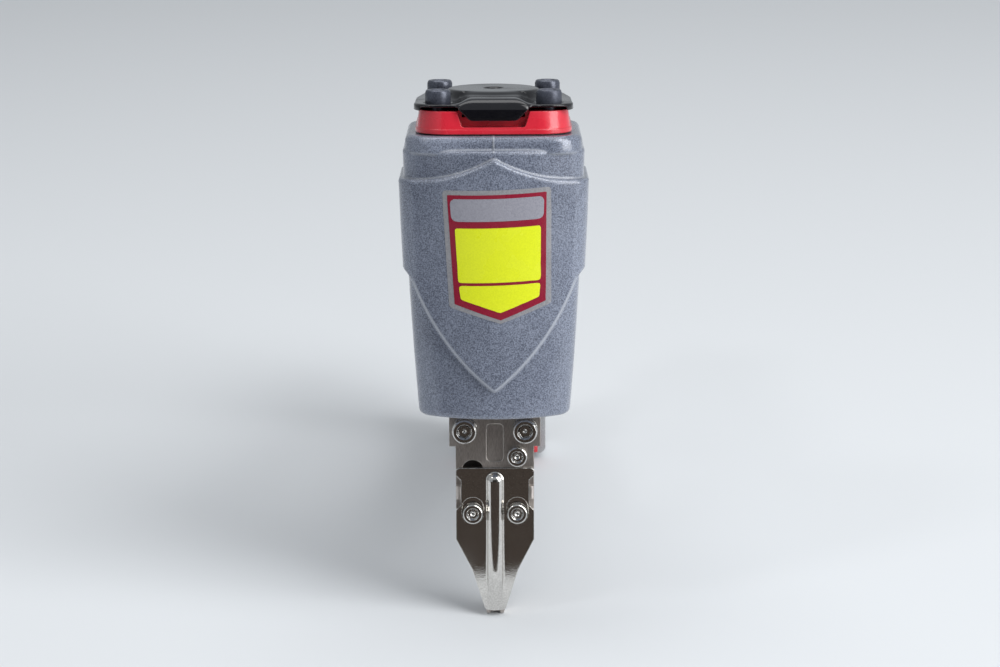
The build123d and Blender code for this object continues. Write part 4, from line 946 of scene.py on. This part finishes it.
@dataclass
class NoseDress(Dress):
    """Bright screws on the nose. Lengths in millimetres, turns in degrees."""

    mount: SocketScrew = SocketScrew(8.5, 5.0, 5.0, 22.0)
    small: SocketScrew = SocketScrew(7.0, 3.0, 4.0, 7.0)
    long: SocketScrew = SocketScrew(7.0, 3.0, 4.0, 19.0)
    guide_front: float = -2.4
    plate_seat: float = -2.4
    washer: float = 1.2
    mount_side: float = 10.3
    side: float = 7.6
    mount_height: float = 65.1
    guide_height: float = 55.7
    plate_height: float = 35.8
    mount_spins: Point = (12.0, 38.0)
    plate_spins: Point = (20.0, 46.0)
    guide_spin: float = 5.0

    def dress(self) -> None:
        """Model the screws and put them on."""
        mount_seat = self.guide_front - self.washer
        mounts = self._pair(self.mount_side, mount_seat, self.mount_height, self.mount_spins)
        plates = self._pair(self.side, self.plate_seat, self.plate_height, self.plate_spins)
        guide = [tool_place(self.side, self.guide_front, self.guide_height, Way.FRONT, self.guide_spin)]
        sets = (
            ("mount_screw_set", "mount_screws", self.mount, mounts),
            ("plate_screw_set", "plate_screws", self.small, plates),
            ("guide_screw_set", "guide_screw", self.long, guide),
        )
        for name, node, screw, places in sets:
            screws = set_copies(screw.model(), places)
            self.wardrobe.dress(screws, name, ["tool"], "bright_screw", [node])

    @staticmethod
    def _pair(side: float, seat: float, height: float, spins: Point) -> list[Matrix]:
        """Places of a left and a right screw that point to the front."""
        return [tool_place(x, seat, height, Way.FRONT, spin) for x, spin in zip((-side, side), spins)]


@dataclass(frozen=True)
class Film:
    """One film of the decal: a panel about the decal's centre. Its foot may have a point.

    Lengths are in millimetres. Films of a higher layer lie on those of a lower one.
    """

    name: str
    finish: str
    layer: int
    rounding: float
    top_half: float
    top: float
    foot_half: float
    foot: float
    point: float | None = None

    def outline(self, steps: int) -> list[Vector]:
        """Round the corners.

        Args:
            steps: how many steps each corner is rounded in.

        Returns:
            Points of the outline, clockwise from the upper left.
        """
        tip = [] if self.point is None else [(0.0, self.point)]
        top, right = [(-self.top_half, self.top), (self.top_half, self.top)], (self.foot_half, self.foot)
        corners = [Vector(corner) for corner in (*top, right, *tip, (-self.foot_half, self.foot))]
        outline = []
        for index, here in enumerate(corners):
            before = (corners[index - 1] - here).normalized()
            after = (corners[(index + 1) % len(corners)] - here).normalized()
            half = before.angle(after) / 2
            middle = here + (before + after).normalized() * (self.rounding / math.sin(half))
            start, end = (here + way * (self.rounding / math.tan(half)) - middle for way in (before, after))
            for step in range(steps + 1):
                outline.append(middle + start.lerp(end, step / steps).normalized() * self.rounding)
        return outline


@dataclass
class CastingDress(Dress):
    """Plain decal on the shield and the casting's parting line. Lengths in millimetres, turns in degrees."""

    films: tuple[Film, ...] = (
        Film("decal_base", "print_silver", 0, 1.2, 17.9, 23.4, 16.8, -15.6, -21.2),
        Film("decal_frame", "print_crimson", 1, 0.3, 16.3, 21.9, 15.0, -14.5, -20.0),
        Film("decal_head", "print_grey", 2, 1.8, 15.5, 20.7, 15.1, 13.2),
        Film("decal_field", "print_yellow", 2, 0.8, 14.1, 10.9, 13.5, -7.3),
        Film("decal_point", "print_yellow", 2, 0.8, 13.4, -8.3, 12.9, -12.9, -17.5),
    )
    askew: float = -1.6
    centre: Point = (1.6, 124.2)
    lift: float = 0.05
    layer_step: float = 0.07
    thickness: float = 0.042
    corner_steps: int = 4
    sheet: float = 60.0
    sheet_grid: tuple[int, int] = (44, 32)
    stand_off: float = 60.0
    shortest_edge: float = 1e-5
    seam_width: float = 0.6
    seam_rise: float = 0.16
    seam_foot: float = 162.8
    seam_top: float = 167.8
    seam_reach: float = 25.0
    seam_facing: float = -0.1

    def dress(self) -> None:
        """Lay the decal's films on the shield, each over the last, and raise the parting line."""
        for film in self.films:
            self.wardrobe.dress(self._lay(film), film.name, ["tool"], "casting_paint", finish=film.finish)
        line = self._parting_line()
        # Its lighter finish is a painted highlight on the ridge
        self.wardrobe.dress(line, "parting_line", ["tool"], "casting_paint", finish="ridge_highlight_paint")

    def _parting_line(self) -> Piece:
        """Raise the fine ridge that the halves of the mould leave down the front of the neck.

        Returns:
            The ridge, in place.
        """
        line = skin_of("housing")
        half = self.seam_width / 2
        trims = (
            ((-half, 0.0, 0.0), (-1.0, 0.0, 0.0)),
            ((half, 0.0, 0.0), (1.0, 0.0, 0.0)),
            ((0.0, 0.0, self.seam_foot), (0.0, 0.0, -1.0)),
            ((0.0, 0.0, self.seam_top), (0.0, 0.0, 1.0)),
            ((0.0, -self.seam_reach, 0.0), (0.0, 1.0, 0.0)),
        )
        for point, way in trims:
            slice_along(line, point, way, trim=True)
        keep_faces(line, lambda middle, normal: normal.y < self.seam_facing)
        modify(line, "SOLIDIFY", thickness=self.seam_rise * MM, offset=1.0)
        smooth(line)
        return line

    def _lay(self, film: Film) -> Piece:
        """Cut a film to its outline and lay it on the shield.

        Args:
            film: the film.

        Returns:
            The film's piece, in place.
        """
        clear()
        columns, rows = self.sheet_grid
        bpy.ops.mesh.primitive_grid_add(
            x_subdivisions=columns, y_subdivisions=rows, size=self.sheet * MM,
            rotation=(math.pi / 2, 0.0, 0.0),
        )
        piece = bpy.context.object
        bpy.ops.object.transform_apply(location=True, rotation=True, scale=True)
        enter(piece)
        outline = film.outline(self.corner_steps)
        for first, second in zip(outline, [*outline[1:], outline[0]]):
            way = Vector((second.x - first.x, 0.0, second.y - first.y))
            if way.length < self.shortest_edge:
                continue
            out = way.cross(Vector((0.0, 1.0, 0.0))).normalized()
            bpy.ops.mesh.select_all(action="SELECT")
            bpy.ops.mesh.bisect(plane_co=(first.x * MM, 0.0, first.y * MM), plane_no=out, clear_outer=True)
        leave()
        spot = Matrix.Translation((self.centre[0] * MM, -self.stand_off * MM, self.centre[1] * MM))
        settle(piece, STAND @ spot @ Matrix.Rotation(math.radians(self.askew), 4, "Y"))
        modify(
            piece, "SHRINKWRAP", target=frame["nodes"]["housing"], wrap_method="PROJECT",
            offset=(self.lift + self.layer_step * film.layer) * MM,
            use_project_y=True, use_negative_direction=False, use_positive_direction=True,
        )
        modify(piece, "SOLIDIFY", thickness=self.thickness * MM, offset=1.0)
        smooth(piece)
        return piece


@dataclass
class RearDress(Dress):
    """Knurled screws at the rear and the rings of the grip. Lengths in millimetres, angle in radians."""

    end: SocketScrew = SocketScrew(7.0, 3.0, 4.0, 26.7)
    bracket: SocketScrew = SocketScrew(7.0, 3.0, 4.0, 12.0)
    rail: SocketScrew = SocketScrew(7.0, 3.0, 4.0, 13.0)
    pull: SocketScrew = SocketScrew(7.0, 3.0, 4.0, 18.0)
    handle_axis: float = 128.3
    end_seat: float = 187.0
    end_side: float = 13.2
    end_rise: float = 15.0
    bracket_side: float = 8.5
    bracket_back: float = 162.3
    bracket_seat: float = 98.3
    rail_seat: float = 16.7
    rail_back: float = 170.0
    rail_heights: Point = (34.6, 53.0)
    pull_spot: Place = (-6.0, 186.0, 53.0)
    ring_first: float = 74.0
    ring_last: float = 146.0
    ring_count: int = 13
    ring_width: float = 2.4
    ring_rise: float = 0.5
    ring_edge: float = 0.18
    edge_angle: float = 1.0

    def dress(self) -> None:
        """Model the screws and the rings and put them on."""
        ends = [
            tool_place(x, self.end_seat, self.handle_axis + rise, Way.BACK)
            for x in (-self.end_side, self.end_side)
            for rise in (-self.end_rise, self.end_rise)
        ]
        brackets = [
            tool_place(x, self.bracket_back, self.bracket_seat, Way.DOWN)
            for x in (-self.bracket_side, self.bracket_side)
        ]
        rails = [tool_place(self.rail_seat, self.rail_back, z, Way.RIGHT) for z in self.rail_heights]
        sets = (
            ("end_cap_screws", "tool", self.end, ends),
            ("bracket_screws", "tool", self.bracket, brackets),
            ("rail_screws", "tool", self.rail, rails),
            ("pull_screw", "cover", self.pull, [tool_place(*self.pull_spot, Way.BACK)]),
        )
        for node, body, screw, places in sets:
            screws = set_copies(screw.model(), places)
            self.wardrobe.dress(screws, f"{node}_set", [body], "black_screw", [node])
        self.wardrobe.dress(self._rings(), "grip_rings", ["tool"], "grip_rubber")

    def _rings(self) -> Piece:
        """Raise the rings on the outside of the grip's sleeve.

        Returns:
            The rings, in place.
        """
        rings = skin_of("hand_grip")
        half = self.ring_width / 2
        pitch = (self.ring_last - self.ring_first) / (self.ring_count - 1)
        middles = [self.ring_first + index * pitch for index in range(self.ring_count)]
        for middle in middles:
            for edge in (middle - half, middle + half):
                slice_along(rings, (0.0, edge, 0.0), (0.0, 1.0, 0.0), trim=False)

        def outside(middle: Vector, normal: Vector) -> bool:
            """Say whether a face is on a ring and looks outwards."""
            near = min(abs(middle.y - spot) for spot in middles) < half
            return near and middle.x * normal.x + (middle.z - self.handle_axis) * normal.z > 0.0

        keep_faces(rings, outside)
        modify(rings, "SOLIDIFY", thickness=self.ring_rise * MM, offset=1.0)
        modify(
            rings, "BEVEL", width=self.ring_edge * MM, segments=2,
            limit_method="ANGLE", angle_limit=self.edge_angle,
        )
        smooth(rings)
        return rings


@dataclass
class SpringDress(Dress):
    """Springs between two bodies, copied and put in place with their ends found. Each coil stands on a moving
    body and rests against the tool.
    """

    slot: str = "spring_steel"
    shading: float = 60.0
    coils: tuple[tuple[str, str], ...] = (
        ("head_valve_spring", "head_valve"),
        ("trigger_valve_spring", "valve_stem"),
        ("latch_spring", "latch"),
    )
    strip: str = "pusher_spring"

    def dress(self) -> None:
        """Copy the springs, find their ends and put them in place."""
        for node, body in self.coils:
            coil, low, high = self._copy(node)
            self._stretch(coil, node, ("tool", body), Vector((0.0, 0.0, high.z)), Vector((0.0, 0.0, low.z)))
        strip, low, high = self._copy(self.strip)
        roll = high.z - low.z
        front, back = Vector((0.0, low.y, 0.0)), Vector((0.0, high.y - roll, 0.0))
        self._stretch(strip, self.strip, ("cover", "pusher"), front, back)

    def _stretch(self, coil: Piece, node: str, bodies: Sequence[str], start: Vector, end: Vector) -> None:
        """Put a spring on in place of its CAD node, with its ends from a start to an end in the tool's
        upright frame; the bodies are only named in the log.
        """
        span = (STAND @ start, STAND @ end)
        self.wardrobe.dress(coil, f"{node}_coil", bodies, self.slot, [node], span=span)

    def _copy(self, node: str) -> tuple[Piece, Vector, Vector]:
        """Copy a spring's surface.

        Args:
            node: the CAD node.

        Returns:
            The copy, and its lowest and highest corners in metres of the tool's upright frame.
        """
        copy = skin_of(node)
        smooth(copy, self.shading)
        upright = STAND.inverted()
        places = [upright @ vertex.co for vertex in copy.data.vertices]
        low = Vector([min(place[axis] for place in places) for axis in range(3)])
        high = Vector([max(place[axis] for place in places) for axis in range(3)])
        return copy, low, high


@dataclass(frozen=True)
class Sheet:
    """Plain sheet of the stage. Lengths in metres.

    The size is its width at the tool's end and its depth, the flare is the width of its far end as a share of
    the near one, and it is stood up by an angle in degrees.
    """

    name: str
    size: Point
    place: Place
    tone: Colour
    rough: float = 0.9
    flare: float = 1.0
    stand: float = 0.0

    def lay(self) -> Piece:
        """Lay the sheet flat.

        Returns:
            The sheet's piece.
        """
        clear()
        bpy.ops.mesh.primitive_plane_add(size=1.0, location=self.place)
        sheet = bpy.context.object
        sheet.name = self.name
        bpy.ops.transform.resize(value=(*self.size, 1.0))
        material = bpy.data.materials.new(self.name)
        material.use_nodes = True
        shader = material.node_tree.nodes["Principled BSDF"]
        shader.inputs["Base Color"].default_value = (*self.tone, 1.0)
        shader.inputs["Roughness"].default_value = self.rough
        shader.inputs["Specular IOR Level"].default_value = 0.0
        sheet.data.materials.append(material)
        return sheet

    def set_card(self) -> None:
        """Set the sheet up as a card that only shows in glossy surfaces."""
        card = self.lay()
        choose(card, lambda place: place.y < 0.0)
        bpy.ops.transform.resize(value=(self.flare, 1.0, 1.0), center_override=self.place)
        leave()
        card.rotation_euler.x = math.radians(self.stand)
        card.visible_camera = card.visible_diffuse = card.visible_shadow = False


@dataclass(frozen=True)
class Lamp:
    """Soft light. Lengths in metres, power in watts."""

    name: str
    place: Place
    size: Point
    power: float

    def hang(self, aim: Place) -> None:
        """Hang the light and turn it to what it lights.

        Args:
            aim: the place that it faces.
        """
        turn = (Vector(aim) - Vector(self.place)).to_track_quat("-Z", "Y")
        bpy.ops.object.light_add(type="AREA", location=self.place, rotation=turn.to_euler())
        light = bpy.context.object
        light.name = self.name
        light.data.shape = "RECTANGLE"
        light.data.size, light.data.size_y = self.size
        light.data.energy = self.power


@dataclass
class Studio:
    """Plain floor, soft lights and the camera at the photo's angle. Lengths in metres, angles in degrees."""

    floor: Sheet = Sheet("floor", (8.0, 8.0), (0.0, 0.0, 0.0), (0.755, 0.78, 0.805), rough=0.55)
    cards: tuple[Sheet, ...] = (
        Sheet("dark_card", (0.3, 1.7), (0.0, -0.964, 0.0005), (0.066, 0.054, 0.047), flare=22.0),
        Sheet("dark_flag", (2.2, 1.0), (0.0, -1.9, 0.5), (0.06, 0.054, 0.049), stand=90.0),
    )
    lamps: tuple[Lamp, ...] = (
        Lamp("key", (1.9, -1.2, 1.9), (1.7, 1.7), 37.0),
        Lamp("window", (2.6, -1.3, 0.8), (1.8, 1.4), 38.0),
        Lamp("lamp", (-0.9, -0.6, 1.2), (0.22, 0.22), 1.8),
        Lamp("top", (-0.1, 0.35, 1.6), (1.6, 0.9), 9.5),
        Lamp("overhead", (0.48, -0.42, 1.05), (0.6, 0.6), 2.9),
    )
    aim: Place = (0.0, 0.0, 0.1)
    sky_tone: Colour = (0.9, 0.95, 1.0)
    sky_strength: float = 0.25
    sky_in_gloss: float = 0.2
    camera_place: Place = (0.0019, -0.9936, 0.4059)
    camera_drop: float = 17.106
    camera_roll: float = -0.2
    lens: float = 111.24
    sensor: float = 36.0

    def build(self) -> None:
        """Set up the floor, the cards, the lights, the surroundings and the camera."""
        self.floor.lay()
        for card in self.cards:
            card.set_card()
        for lamp in self.lamps:
            lamp.hang(self.aim)
        self._surround()
        self._frame_view()

    def _surround(self) -> None:
        """Fill the room with even pale light, a little stronger where glossy surfaces show it."""
        world = bpy.data.worlds.new("studio")
        world.use_nodes = True
        bench = Bench(world.node_tree)
        sky = world.node_tree.nodes["Background"]
        sky.inputs["Color"].default_value = (*self.sky_tone, 1.0)
        gloss = bench.add("ShaderNodeLightPath").outputs["Is Glossy Ray"]
        bench.give(sky, Strength=bench.maths("MULTIPLY_ADD", gloss, self.sky_in_gloss, self.sky_strength))
        bpy.context.scene.world = world

    def _frame_view(self) -> None:
        """Put the camera at the photo's angle."""
        tilt = Matrix.Rotation(math.radians(90.0 - self.camera_drop), 3, "X")
        turn = tilt @ Matrix.Rotation(math.radians(self.camera_roll), 3, "Z")
        bpy.ops.object.camera_add(location=self.camera_place, rotation=turn.to_euler())
        camera = bpy.context.object
        camera.data.lens = self.lens
        camera.data.sensor_width = self.sensor
        bpy.context.scene.camera = camera
        bpy.context.scene.view_settings.view_transform = "Standard"


def main() -> None:
    """Dress the tool and set the stage."""
    logging.basicConfig(level=logging.INFO, format="%(name)s: %(message)s")
    wardrobe = Wardrobe()
    wardrobe.dress_frame()
    for section in (CapDress, NoseDress, CastingDress, RearDress, SpringDress):
        section(wardrobe).dress()
    Studio().build()


if __name__ == "__main__":
    main()
